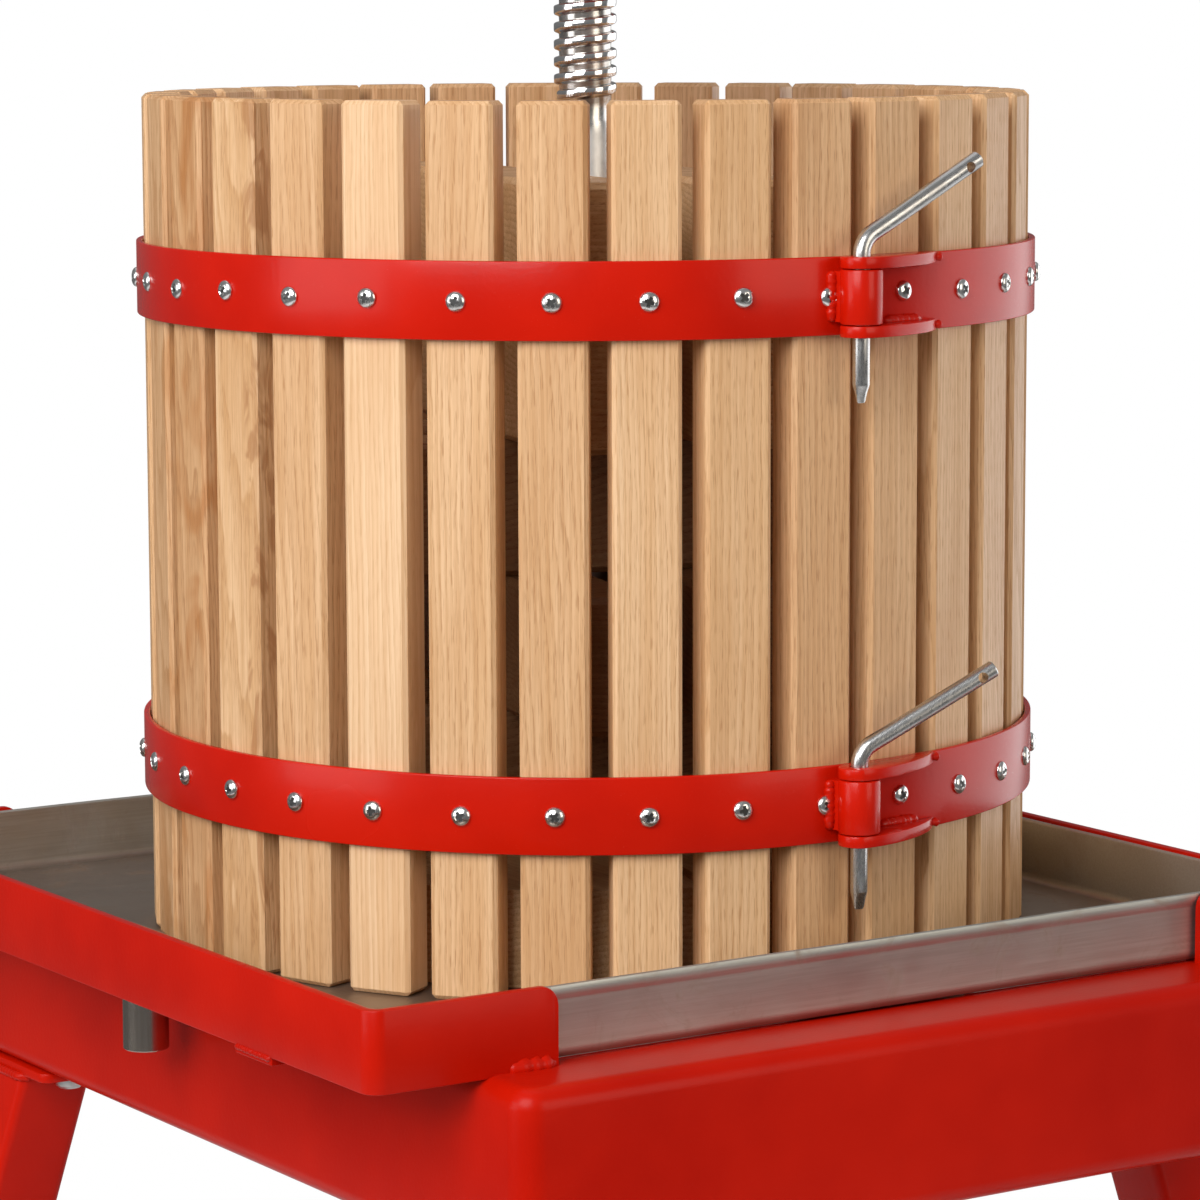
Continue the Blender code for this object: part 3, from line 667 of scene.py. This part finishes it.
def make_hoop(level_name, side, seam, level):
    z = TRAY_Z + GAP + level
    half = HOOP_HEIGHT / 2
    section = rounded_section(HOOP_INNER, HOOP_OUTER, z - half, z + half, 0.0006)
    loops = []
    steps = 120
    for i in range(steps + 1):
        a = seam + HOOP_SEAM_DEG + (180 - 2 * HOOP_SEAM_DEG) * i / steps
        wave = 0.00018 * sin(radians(a * 5)) + 0.00010 * sin(radians(a * 13 + 40))
        loops.append([polar(r + wave, a, zz) for r, zz in section])
    bm = loft(loops)
    pin = polar(PIN_ORBIT, seam + PIN_OFFSET_DEG)
    for low, high in ((EAR_INNER, EAR_OUTER), (-EAR_OUTER, -EAR_INNER)):
        ear = prism(ear_outline(seam), z + low, z + high, 0.0007)
        hole = turned_solid([(PIN_BORE, z + low - 0.002), (PIN_BORE, z + high + 0.002)], 32, pin)
        add_mesh(bm, boolean(ear, hole))
    far = seam + 180 + PIN_OFFSET_DEG
    barrel = polar(PIN_ORBIT, far)
    b, h = BARREL_RADIUS, BARREL_HALF
    add_mesh(bm, lathe(raised([(PIN_BORE, -h), (b - 0.0009, -h), (b - 0.0003, -h + 0.0003), (b, -h + 0.0009),
                               (b, h - 0.0009), (b - 0.0003, h - 0.0003), (b - 0.0009, h), (PIN_BORE, h)], z),
                       40, barrel))
    bridge = [polar(HOOP_OUTER - 0.0005, far - 2.25), polar(PIN_ORBIT - 0.003, far - 2.0),
              polar(PIN_ORBIT - 0.003, far + 2.0), polar(HOOP_OUTER - 0.0005, far + 2.25)]
    add_mesh(bm, prism(bridge, z - h + 0.001, z + h - 0.001))
    publish(f"hoop_{level_name}_{side}_band", bm, RED, "basket", (f"hoop_{level_name}_{side}",))
    beads = bmesh.new()
    seed = int(abs(seam) * 7 + level * 100)
    for sign in (-1, 1):
        edge = [Vector(polar(HOOP_OUTER + 0.0002, far + sign * 2.45, z + rise))
                for rise in (-h + 0.001, 0.0, h - 0.001)]
        add_mesh(beads, weld(edge, 0.0026, seed + sign))
        mid = z + sign * (EAR_INNER + EAR_OUTER) / 2
        run = [Vector(polar(HOOP_OUTER + 0.0016, seam + EAR_END_DEG - 0.6 + t, mid)) for t in (0.0, 0.7, 1.4)]
        add_mesh(beads, weld(run, 0.0019, seed + 5 + sign))
        under = z + sign * (EAR_INNER - 0.0005)
        run = [Vector(polar(HOOP_OUTER + 0.0003, seam + t, under)) for t in (2.2, 5.0, 8.5)]
        add_mesh(beads, weld(run, 0.0017 - 0.0008 * sign, seed + 9 + sign))
    publish(f"hoop_{level_name}_{side}_welds", beads, RED, "basket", sharp=60.0)


def screw_head():
    """Pan head with a cross recess, its seat at z = 0."""
    profile = [(0.0047, 0.0), (0.0048, 0.0004), (0.00465, 0.0010), (0.0041, 0.0017), (0.0031, 0.0023),
               (0.0018, 0.0027), (0.0006, 0.0028)]
    head = turned_solid(profile, 28)
    for turn in (0.0, pi / 2):
        wide, long = 0.0010, 0.0033
        slot = loft([rectangle(wide * 0.5, long * 0.35, 0.0009), rectangle(wide, long, 0.0034)])
        slot.transform(Matrix.Rotation(turn + 0.001, 4, "Z"))
        head = boolean(head, slot)
    # Painted shade: dark floors in the two slots, one a hair above the other
    for turn in (0.0, pi / 2):
        floor = box_mesh((-0.00072, -0.0024, 0.0011), (0.00072, 0.0024, 0.0020 + turn * 0.00004))
        floor.transform(Matrix.Rotation(turn + 0.001, 4, "Z"))
        for face in floor.faces:
            face.material_index = 1
        add_mesh(head, floor)
    return as_mesh("pan_head", head)


def make_hoop_screws(head):
    for level_name, level in HOOP_LEVELS:
        for side, first in (("right", 0), ("left", STAVES // 2)):
            bm = bmesh.new()
            for i in range(first, first + STAVES // 2):
                angle = SEAM_DEG + 360 / STAVES * (i + 0.5) + rng.uniform(-0.12, 0.12)
                z = TRAY_Z + GAP + level + rng.uniform(-0.0009, 0.0009)
                one = bmesh.new()
                one.from_mesh(head)
                lean = Matrix.Rotation(rng.uniform(-0.05, 0.05), 4, "X")
                at = facing(polar(HOOP_OUTER - 0.0001, angle, z), polar(1.0, angle, 0.0), rng.uniform(0, pi))
                one.transform(at @ lean)
                add_mesh(bm, one)
            publish(f"stave_screws_{level_name}_{side}", bm, (ZINC, RECESS_SHADE), "basket",
                    sharp=38.0)


def make_pin(name, body, seam, level, arm_deg):
    x, y = polar(PIN_ORBIT, seam + PIN_OFFSET_DEG)
    base = Vector((x, y, TRAY_Z + GAP + level))
    away = Vector(polar(1.0, arm_deg, 0.0))
    up = Vector((0.0, 0.0, 1.0))
    bend, turn, steps = PIN_BEND_RADIUS, radians(PIN_BEND_DEG), 12
    # From the pinched tip up to the bend: height, radius and how flat
    shank = [(PIN_TIP, 0.0019, 0.35), (-0.0478, 0.0024, 0.42), (-0.0440, 0.0031, 0.65),
             (-0.0408, 0.00385, 0.95)]
    shank += [(z, PIN_RADIUS, 1.0) for z in (-0.0400, -0.020, 0.0, PIN_BEND_Z)]
    path = [base + up * z for z, _, _ in shank]
    centre = base + up * PIN_BEND_Z + away * bend
    for i in range(1, steps + 1):
        a = turn * i / steps
        path.append(centre - away * (bend * cos(a)) + up * (bend * sin(a)))
    along = away * sin(turn) + up * cos(turn)
    end = path[-1] + along * PIN_ARM_LENGTH
    path += [path[-1].lerp(end, 0.5), end - along * 0.0006, end]
    radii = [r for _, r, _ in shank] + [PIN_RADIUS] * (steps + 2) + [0.0034]
    flat = [f for _, _, f in shank] + [1.0] * (steps + 3)
    bar = tube(path, radii, 24, flat)
    across = along.cross(up).normalized()
    hole = turned_solid([(PIN_HOLE, -0.01), (PIN_HOLE, 0.01)], 24)
    m = Matrix((across.cross(along), along, across)).transposed().to_4x4()
    m.translation = end - along * 0.0078
    hole.transform(m)
    return publish(name + "_bar", boolean(bar, hole), PIN_STEEL, body, (name,), 40.0)


# ---------------------------------------------------------------- pressing stack and screw

def lay_grain(material, rotation):
    """Turn a wood whose grain does not stand upright."""
    mapping = next(n for n in material.node_tree.nodes if n.type == "MAPPING")
    mapping.inputs["Rotation"].default_value = rotation


def make_stack():
    for name, seed in (("press_disc_left", 5), ("press_disc_right", 9)):
        material = wood(name + "_wood", radians(STACK_DEG - 90), (0.0, 0.0, TRAY_Z), seed,
                        (-0.12, 0.03), (0.0, 0.0), 0.0031, blended(OAK, PRESS, 0.45))
        # The boards' grain lies flat, along the joint between them
        lay_grain(material, (radians(90), 0.0, radians(-STACK_DEG)))
        dress(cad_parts[name], material, 0.0015)
    for index, layer in enumerate("abcd"):
        direction = STACK_DEG + (90.0 if layer in "ac" else 0.0)
        for number in (1, 2):
            palette = blended(OAK, PRESS, rng.uniform(0.35, 0.8))
            # Painted shade: the three lower layers are darkened, for the shade deep inside the basket
            if layer != "d":
                palette = blended(palette, PAINTED_SHADE_WOOD, 0.75)
            seed = index * 5.1 + number * 2.3 + 40
            pith = (-0.06, 0.55 + rng.uniform(-0.03, 0.03))
            material = wood(f"block_{layer}{number}_wood", 0.0, (0.0, 0.0, 0.0), seed, pith, (0.0, 0.01),
                            rng.uniform(0.0026, 0.0036), palette)
            lay_grain(material, (0.0, radians(90), radians(-direction)))
            dress(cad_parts[f"press_block_{layer}{number}"], material, 0.0015)


def make_screw():
    """The post with a finely cut square thread."""
    bm = bmesh.new()
    steps = 44
    start = TRAY_Z + THREAD_START
    c, r = CREST_RADIUS, ROOT_RADIUS
    profile = ((r, 0.0), (r + 0.0001, 0.29), (r + 0.0006, 0.35), (c - 0.0007, 0.405), (c - 0.0002, 0.45),
               (c, 0.52), (c, 0.86), (c - 0.0002, 0.91), (c - 0.0007, 0.945), (r + 0.0006, 0.99))
    total = steps * THREAD_TURNS
    grid = []
    for j in range(total + 1):
        a = 2 * pi * j / steps
        # The thread grows out of the shaft over its first turn
        grow = min(1.0, j / steps / 0.8)
        row = []
        for radius, lift in profile:
            rad = r + (radius - r) * grow
            row.append(bm.verts.new((rad * cos(a), rad * sin(a), start + PITCH * (j / steps + lift))))
        grid.append(row)
    last = len(profile) - 1
    for j in range(total):
        for k in range(last):
            bm.faces.new((grid[j][k], grid[j + 1][k], grid[j + 1][k + 1], grid[j][k + 1]))
        if j + steps < total:
            bm.faces.new((grid[j][last], grid[j + 1][last], grid[j + 1 + steps][0], grid[j + steps][0]))
    rings = []
    s = SHAFT_RADIUS
    shaft = raised([(s - 0.001, -0.046), (s, -0.045), (s, -0.0047), (0.0215, -0.0047), (0.022, -0.0042),
                    (0.022, 0.0045), (0.0205, 0.006), (s, 0.008)], TRAY_Z)
    for radius, z in shaft + raised([(s, -0.004), (r, -0.002)], start):
        rings.append([bm.verts.new(p) for p in circle(radius, z, steps)])
    bm.faces.new(rings[0])
    for lower, upper in zip(rings, rings[1:]):
        skin(bm, lower, upper)
    for j in range(steps):
        k = (j + 1) % steps
        bm.faces.new((rings[-1][j], rings[-1][k], grid[j + 1][0], grid[j][0]))
    bm.faces.new([rings[-1][0]] + [grid[0][k] for k in range(last + 1)] + [grid[steps][0]])
    top = start + PITCH * (THREAD_TURNS + 1) + 0.004
    upper = [bm.verts.new(p) for p in circle(c, top, steps)]
    first = total - steps
    for j in range(steps):
        k = (j + 1) % steps
        bm.faces.new((grid[first + j][last], grid[first + j + 1][last], upper[k], upper[j]))
    bm.faces.new([upper[0], grid[first][last]] + [grid[total][k] for k in range(last + 1)])
    tip = [bm.verts.new(p) for p in circle(c - 0.003, top + 0.003, steps)]
    skin(bm, upper, tip)
    bm.faces.new(tip)
    publish("press_screw_thread", bm, SCREW_STEEL, "stand", ("press_screw",), 28.0)


def hex_nut(radius, z0, z1, bore, chamfer=0.0012):
    """A hexagon nut with its corners turned down, and a clear hole."""
    steps = 48
    apothem = radius * cos(pi / 6)
    loops = []
    for z, cut in ((z0, True), (z0 + chamfer, False), (z1 - chamfer, False), (z1, True)):
        loop = []
        for i in range(steps):
            a = 2 * pi * i / steps
            wall = apothem / cos((a % (pi / 3)) - pi / 6)
            r = min(wall, apothem * 1.01) if cut else wall
            loop.append((r * cos(a), r * sin(a), z))
        loops.append(loop)
    inner = [circle(bore, z1, steps), circle(bore, z0, steps)]
    return loft(loops + inner, closed=True)


def make_foot_nut():
    high = TRAY_Z + BEAM_Z[1] - GAP
    bm = hex_nut(0.0265, high - 0.024, high, SHAFT_RADIUS + 0.0004, 0.002)
    publish("screw_foot_nut_hex", bm, ZINC_DULL, "stand", ("screw_foot_nut",), 30.0)


# ---------------------------------------------------------------- tray

def make_tray():
    def loop(inset, height, ripple=0.0):
        radius = max(TRAY_CORNER - inset, 0.002)
        points = rounded_rectangle(TRAY_X[0] + inset, TRAY_X[1] - inset, -TRAY_Y + inset, TRAY_Y - inset,
                                   radius, TRAY_Z + height, 8, 24)
        result = []
        for x, y, z in points:
            wave = ripple * (sin(x * 31.0 + 1.0) * sin(y * 27.0) + 0.5 * sin((x + y) * 71.0))
            result.append((x, y, z + wave * 0.4))
        return result

    s, h, ripple = TRAY_SHEET, TRAY_HEIGHT, 0.0003
    # Under the floor, up the outside, over the hemmed rim and down the inside: inset, height and ripple
    section = ((0.0050, -s), (0.0030, -s + 0.0002), (0.0012, -s + 0.0011), (0.0002, 0.0016), (0.0, 0.0040),
               (0.0, h - 0.0072), (-0.0003, h - 0.0062), (-0.0009, h - 0.0048), (-0.0013, h - 0.0032),
               (-0.0013, h - 0.0012, ripple), (-0.0010, h - 0.0004, ripple), (-0.0003, h, ripple),
               (0.0004, h - 0.0001, ripple), (0.0012, h - 0.0008, ripple), (s, h - 0.0018), (s, 0.0045),
               (0.0019, 0.0022), (0.0030, 0.0008), (0.0046, 0.0001), (0.0062, 0.0))
    bm = loft([loop(*row) for row in section])
    bm = boolean(bm, turned_solid(raised([(0.0245, -0.01), (0.0245, 0.01)], TRAY_Z), 48))
    bm = boolean(bm, turned_solid(raised([(0.0096, -0.05), (0.0096, 0.01)], TRAY_Z), 40, DRAIN))
    collar = ((0.0240, -0.0012), (0.0262, -0.0012), (0.0255, 0.003), (0.0255, 0.0296), (0.0252, 0.0300),
              (0.0243, 0.0300), (0.0240, 0.0296))
    add_mesh(bm, lathe(raised(collar, TRAY_Z), 48))
    publish("juice_tray_pan", bm, STEEL_WALL, "stand", ("juice_tray",), 30.0)
    spout = ((0.0095, DRAIN_LOW), (0.0106, DRAIN_LOW), (0.0110, DRAIN_LOW + 0.0005), (0.0110, -0.0035),
             (0.0122, -0.0016), (0.0098, -0.0012))
    steel = sheet_steel("spout_steel", 0.82, 0.20, (60.0, 60.0, 1.5), stain_share=0.0)
    publish("drain_spout", lathe(raised(spout, TRAY_Z), 48, DRAIN), steel, "stand", sharp=30.0)


# ---------------------------------------------------------------- frame and guards

def make_frame():
    def loop(inset, height):
        radius = max(FRAME_CORNER - inset, 0.003)
        return rounded_rectangle(FRAME_X[0] + inset, FRAME_X[1] - inset, -FRAME_Y + inset, FRAME_Y - inset,
                                 radius, TRAY_Z + height, 8)

    low, top, t, r, flange = FRAME_LOW, FRAME_TOP, FRAME_WALL, FRAME_ROUND, FRAME_FLANGE
    section = [(flange, top)]
    for i in range(7):
        a = radians(15 * i)
        section.append((r - r * sin(a), top - r + r * cos(a)))
    for i in range(7):
        a = radians(15 * i)
        section.append((r - r * cos(a), low + r - r * sin(a)))
    section += [(flange, low), (flange, low + t), (t + 0.002, low + t), (t, low + t + 0.002),
                (t, top - t - 0.002), (t + 0.002, top - t), (flange, top - t)]
    bm = loft([loop(s, z) for s, z in section], closed=True)
    publish_frame("frame_ring", bm, 32.0, ("frame",))

    inner, outer = BEAM_HALF
    foot, roof, top = BEAM_Z
    section = ((-outer, foot), (-inner, foot), (-inner, roof), (inner, roof), (inner, foot), (outer, foot),
               (outer, top), (-outer, top))
    beam = loft([[(x, y, TRAY_Z + z) for x, z in section] for y in (-FRAME_Y + 0.0035, FRAME_Y - 0.0035)])
    bore = SHAFT_RADIUS + 0.0004
    hole = turned_solid(raised([(bore, -0.03), (bore, 0.01)], TRAY_Z), 40)
    bevel(publish_frame("frame_beam", boolean(beam, hole)), 0.0012, 2, 40.0)

    for name, side in (("tray_guard_left", -1), ("tray_guard_right", 1)):
        make_guard(name, side)

    bm = bmesh.new()
    for y in (-STRAP_Y, STRAP_Y):
        add_mesh(bm, box_mesh((GUARD_X[0] + 0.0006, y - STRAP_HALF, TRAY_Z - 0.0073),
                              (FRAME_X[0] + 0.002, y + STRAP_HALF, TRAY_Z - 0.0034)))
    bevel(publish_frame("guard_straps", bm), 0.0006)

    bm = bmesh.new()
    z = TRAY_Z - 0.0030
    for x0, x1 in ((-0.2150, -0.1915), (0.1785, 0.2020)):
        for y in (-1, 1):
            line = [Vector((x, y * (GUARD_Y - 0.0020), z + 0.0020)) for x in (x0, (x0 + x1) / 2, x1)]
            add_mesh(bm, weld(line, 0.0046, int(x0 * 900) + y))
    for y in (-STRAP_Y, STRAP_Y):
        line = [Vector((GUARD_X[0] + 0.0008, y + d, TRAY_Z - 0.0040)) for d in (-0.016, 0.0, 0.016)]
        add_mesh(bm, weld(line, 0.0016, int(y * 500)))
    for x in (-0.051, 0.051):
        for y in (-1, 1):
            line = [Vector((x, y * (FRAME_Y - 0.0045), TRAY_Z + z)) for z in (-0.060, -0.035, -0.010)]
            add_mesh(bm, weld(line, 0.0022, int(x * 900) + y))
    publish_frame("frame_welds", bm, 60.0)


def make_guard(name, side):
    x_out = GUARD_X[0] if side < 0 else GUARD_X[1]
    reach = GUARD_RETURN[0] if side < 0 else GUARD_RETURN[1]
    bend, rise = GUARD_BEND, GUARD_END_ROUND
    free = [rise * (1 - cos(radians(90 * i / 8))) for i in range(9)]
    centre = (x_out - side * bend, GUARD_Y - bend)
    stations = [((x_out - side * (reach - s), -GUARD_Y), (0.0, -1.0), s) for s in free]
    for corner in (-1, 1):
        for i in range(13):
            a = radians(90 * i / 12 if corner < 0 else 90 - 90 * i / 12)
            normal = (side * sin(a), corner * cos(a))
            point = (centre[0] + bend * normal[0], corner * centre[1] + bend * normal[1])
            stations.append((point, normal, 1.0))
    stations += [((x_out - side * (reach - s), GUARD_Y), (0.0, 1.0), s) for s in reversed(free)]
    e, f, thick = 0.0009, 0.0009 * 0.3, GUARD_THICK
    loops = []
    for point, normal, s in stations:
        away = max(rise - s, 0.0)
        drop = rise - sqrt(max(rise ** 2 - away ** 2, 0.0))
        low, high = TRAY_Z + GUARD_Z[0], TRAY_Z + GUARD_Z[1] - drop
        loop = []
        for depth, z in ((thick - e, low), (e, low), (f, low + f), (0.0, low + e), (0.0, high - e),
                         (f, high - f), (e, high), (thick - e, high), (thick - f, high - f),
                         (thick, high - e), (thick, low + e), (thick - f, low + f)):
            loop.append((point[0] - depth * normal[0], point[1] - depth * normal[1], z))
        loops.append(loop)
    publish_frame(name, loft(loops), 32.0)


# ---------------------------------------------------------------- legs

def make_legs():
    for name, sx, sy in (("leg_front_left", -1, -1), ("leg_front_right", 1, -1),
                         ("leg_rear_left", -1, 1), ("leg_rear_right", 1, 1)):
        make_leg(name, sx, sy)


def make_leg(name, sx, sy):
    top = TRAY_Z + FRAME_LOW - GAP
    under = top - PLATE_THICK
    x = FRAME_X[0] + LEG_IN if sx < 0 else FRAME_X[1] - LEG_IN
    y = sy * LEG_Y
    kx, ky = sx * LEG_SPLAY, sy * LEG_SPLAY

    def ring(half, radius, z):
        dx, dy = kx * (under - z), ky * (under - z)
        return rounded_rectangle(x + dx - half, x + dx + half, y + dy - half, y + dy + half, radius, z, 6)

    def plate(cx, cy, half_x, half_y, radius, z0, z1):
        outline = rounded_rectangle(cx - half_x, cx + half_x, cy - half_y, cy + half_y, radius, 0.0, 5)
        return prism([point[:2] for point in outline], z0, z1, 0.0008)

    half, inner, radius = LEG_SIZE / 2, LEG_SIZE / 2 - LEG_WALL, LEG_ROUND - LEG_WALL
    bm = loft([ring(half, LEG_ROUND, PLATE_THICK), ring(half, LEG_ROUND, under), ring(inner, radius, under),
               ring(inner, radius, PLATE_THICK)], closed=True)
    publish_frame(name + "_tube", bm, 32.0, (name,))
    plates = plate(x, y, *LEG_PLATE_HALF, 0.006, under, top)
    fx, fy = x + kx * under, y + ky * under
    foot = plate(fx, fy, FOOT_HALF, FOOT_HALF, 0.005, 0.0, PLATE_THICK)
    add_mesh(plates, boolean(foot, turned_solid([(FOOT_HOLE, -0.01), (FOOT_HOLE, 0.02)], 32, (fx, fy))))
    publish_frame(name + "_plates", plates, 32.0)
    beads = bmesh.new()
    for z, seed in ((under - 0.0008, 3), (PLATE_THICK + 0.0008, 8)):
        loop = [Vector(p) for p in ring(half + 0.0004, LEG_ROUND, z)]
        add_mesh(beads, weld(loop[::3] + [loop[0]], 0.0024, seed + sx * 2 + sy * 5))
    publish_frame(name + "_welds", beads, 60.0)
    bolts = bmesh.new()
    for by in (y - BOLT_Y, y + BOLT_Y):
        washer = ((0.0045, -0.0016), (0.0085, -0.0016), (0.0085, 0.0), (0.0045, 0.0))
        dome = ((0.0030, -0.0068), (0.0056, -0.0062), (0.0070, -0.0048), (0.0073, -0.0032), (0.0073, -0.0010))
        add_mesh(bolts, lathe(raised(washer, under), 32, (x, by)))
        add_mesh(bolts, turned_solid(raised(dome, under), 32, (x, by)))
    publish(name + "_bolts", bolts, ZINC_DULL, "stand", sharp=30.0)


# ---------------------------------------------------------------- head

def make_head():
    z = TRAY_Z + PLATE_REST
    disc = ((PLATE_BORE, 0.0), (0.097, 0.0), (0.0985, 0.0005), (0.0998, 0.002), (0.0998, 0.010),
            (0.0985, 0.0115), (0.097, 0.012), (0.058, 0.0121), (0.053, 0.0135), (0.0485, 0.0190),
            (0.0475, 0.0200), (PLATE_BORE, 0.0200))
    publish("thrust_plate_disc", lathe(raised(disc, z), 96), RED_FRAME, "pressing_plate",
            ("thrust_plate",), 30.0)
    arm = z + ARM_HEIGHT
    foot = ((NUT_BORE, 0.0), (0.0450, 0.0), (0.0460, 0.001), (0.0460, 0.012), (0.0450, 0.0145),
            (0.0360, 0.0245), (0.0342, 0.0280))
    neck = ((0.0312, -0.042), (0.0330, -0.032), (0.0360, -0.024), (0.0362, 0.020), (0.0350, 0.025),
            (0.0320, 0.0290), (0.0300, 0.0300), (0.0172, 0.0300), (NUT_BORE, 0.0288))
    hub = lathe(raised(foot, z + 0.0203) + raised(neck, arm), 64)
    # Each arm from the hub outwards, then the knob at its end, measured back from the tip
    spine = [(0.030, 0.0172), (0.040, 0.0165), (0.060, 0.0132), (0.080, 0.0113), (0.180, 0.0104)]
    spine += [(ARM_REACH - back, r) for back, r in ((0.034, 0.0096), (0.029, 0.0108), (0.024, 0.0152),
                                                    (0.019, 0.0166), (0.008, 0.0166), (0.003, 0.0150),
                                                    (0.0005, 0.0118), (0.0, 0.0090))]
    for side in (-1, 1):
        points = [Vector((side * d, 0.0, arm)) for d, _ in spine]
        add_mesh(hub, tube(points, [r for _, r in spine], 32))
    publish("press_nut_handles", hub, RED_FRAME, "turning_nut", ("press_nut",), 40.0)


# ---------------------------------------------------------------- stage

def make_stage():
    steps = 96
    mesh = as_mesh("floor", loft([circle(9.0, -0.004, steps), circle(9.0, 0.0, steps)]))
    floor = link(bpy.data.objects.new("floor", mesh))
    floor.location.z = -0.0002
    material, g, shader, where = new_material("floor_paint", Roughness=0.8)
    x, y, z = g.split(where)
    distance = g.length(x, y)
    tone = g.noise(where, 3.0, 2.0, 0.5)
    g.put(shader.inputs["Base Color"], g.mix(tone, grey(0.80), grey(0.84)))
    clear = g.add("ShaderNodeBsdfTransparent")
    blend = g.add("ShaderNodeMixShader")
    g.put(blend.inputs[0], g.step(distance, 0.75, 1.45))
    g.tree.links.new(shader.outputs[0], blend.inputs[1])
    g.tree.links.new(clear.outputs[0], blend.inputs[2])
    output = [n for n in g.tree.nodes if n.type == "OUTPUT_MATERIAL"][0]
    g.tree.links.new(blend.outputs[0], output.inputs["Surface"])
    mesh.materials.append(material)

    world = bpy.data.worlds.new("studio")
    bpy.context.scene.world = world
    world.use_nodes = True
    g = Graph(world.node_tree)
    background = world.node_tree.nodes["Background"]
    direct = g.add("ShaderNodeLightPath").outputs["Is Camera Ray"]
    way = g.split(g.add("ShaderNodeTexCoord").outputs["Generated"])
    sky = g.mix(g.step(way[2], -0.2, 0.9), grey(0.14), grey(0.24))
    # A pale wall to the right, for the washed-out gloss on surfaces that turn that way
    card = g.times(g.step(way[0], 0.80, 0.93), g.step(way[2], 0.45, 0.25))
    sky = g.mix(card, sky, grey(2.0))
    g.put(background.inputs["Color"], g.mix(direct, sky, grey(1.0)))
    background.inputs["Strength"].default_value = 1.0

    def area(name, position, target, size, power, colour=(1.0, 1.0, 1.0)):
        light = bpy.data.lights.new(name, "AREA")
        light.shape = "RECTANGLE"
        light.size, light.size_y = size
        light.energy = power
        light.color = colour
        lamp = link(bpy.data.objects.new(name, light))
        lamp.location = position
        lamp.rotation_mode = "QUATERNION"
        lamp.rotation_quaternion = (Vector(target) - Vector(position)).to_track_quat("-Z", "Y")

    middle = (0.0, 0.0, 0.75)
    area("key_light", (-2.25, -1.30, 2.25), middle, (2.0, 2.0), 82.0)
    area("fill_light", (0.9, -2.9, 1.5), middle, (1.4, 1.8), 20.0, (1.0, 0.90, 0.76))
    area("top_light", (0.3, 0.6, 3.0), middle, (2.0, 2.0), 6.0)
    area("left_light", (-2.9, 0.4, 1.2), middle, (1.6, 1.6), 21.0)


def make_camera():
    data = bpy.data.cameras.new("camera")
    data.sensor_width = 36.0
    data.lens = 135.16
    data.clip_start = 0.05
    data.clip_end = 60.0
    camera = link(bpy.data.objects.new("camera", data))
    pan, down, roll = -33.25, 7.635, -0.186
    turn = Matrix.Rotation(radians(pan), 4, "Z") @ Matrix.Rotation(radians(90 - down), 4, "X")
    camera.matrix_world = (Matrix.Translation((-1.2255, -1.881, TRAY_Z + 0.4593)) @ turn
                           @ Matrix.Rotation(radians(roll), 4, "Z"))
    bpy.context.scene.camera = camera


make_staves()
for level_name, level in HOOP_LEVELS:
    make_hoop(level_name, "right", SEAM_DEG, level)
    make_hoop(level_name, "left", SEAM_DEG + 180, level)
make_hoop_screws(screw_head())
make_pin("pin_upper_front", "upper_front_pin", SEAM_DEG, HOOP_LEVELS[1][1], 0.4)
make_pin("pin_lower_front", "lower_front_pin", SEAM_DEG, HOOP_LEVELS[0][1], -15.5)
make_pin("pin_upper_rear", "upper_rear_pin", SEAM_DEG + 180, HOOP_LEVELS[1][1], 176.0)
make_pin("pin_lower_rear", "lower_rear_pin", SEAM_DEG + 180, HOOP_LEVELS[0][1], 168.0)
make_stack()
make_screw()
make_foot_nut()
make_tray()
make_frame()
make_legs()
make_head()
make_stage()
make_camera()
bpy.context.scene.view_settings.view_transform = "Standard"
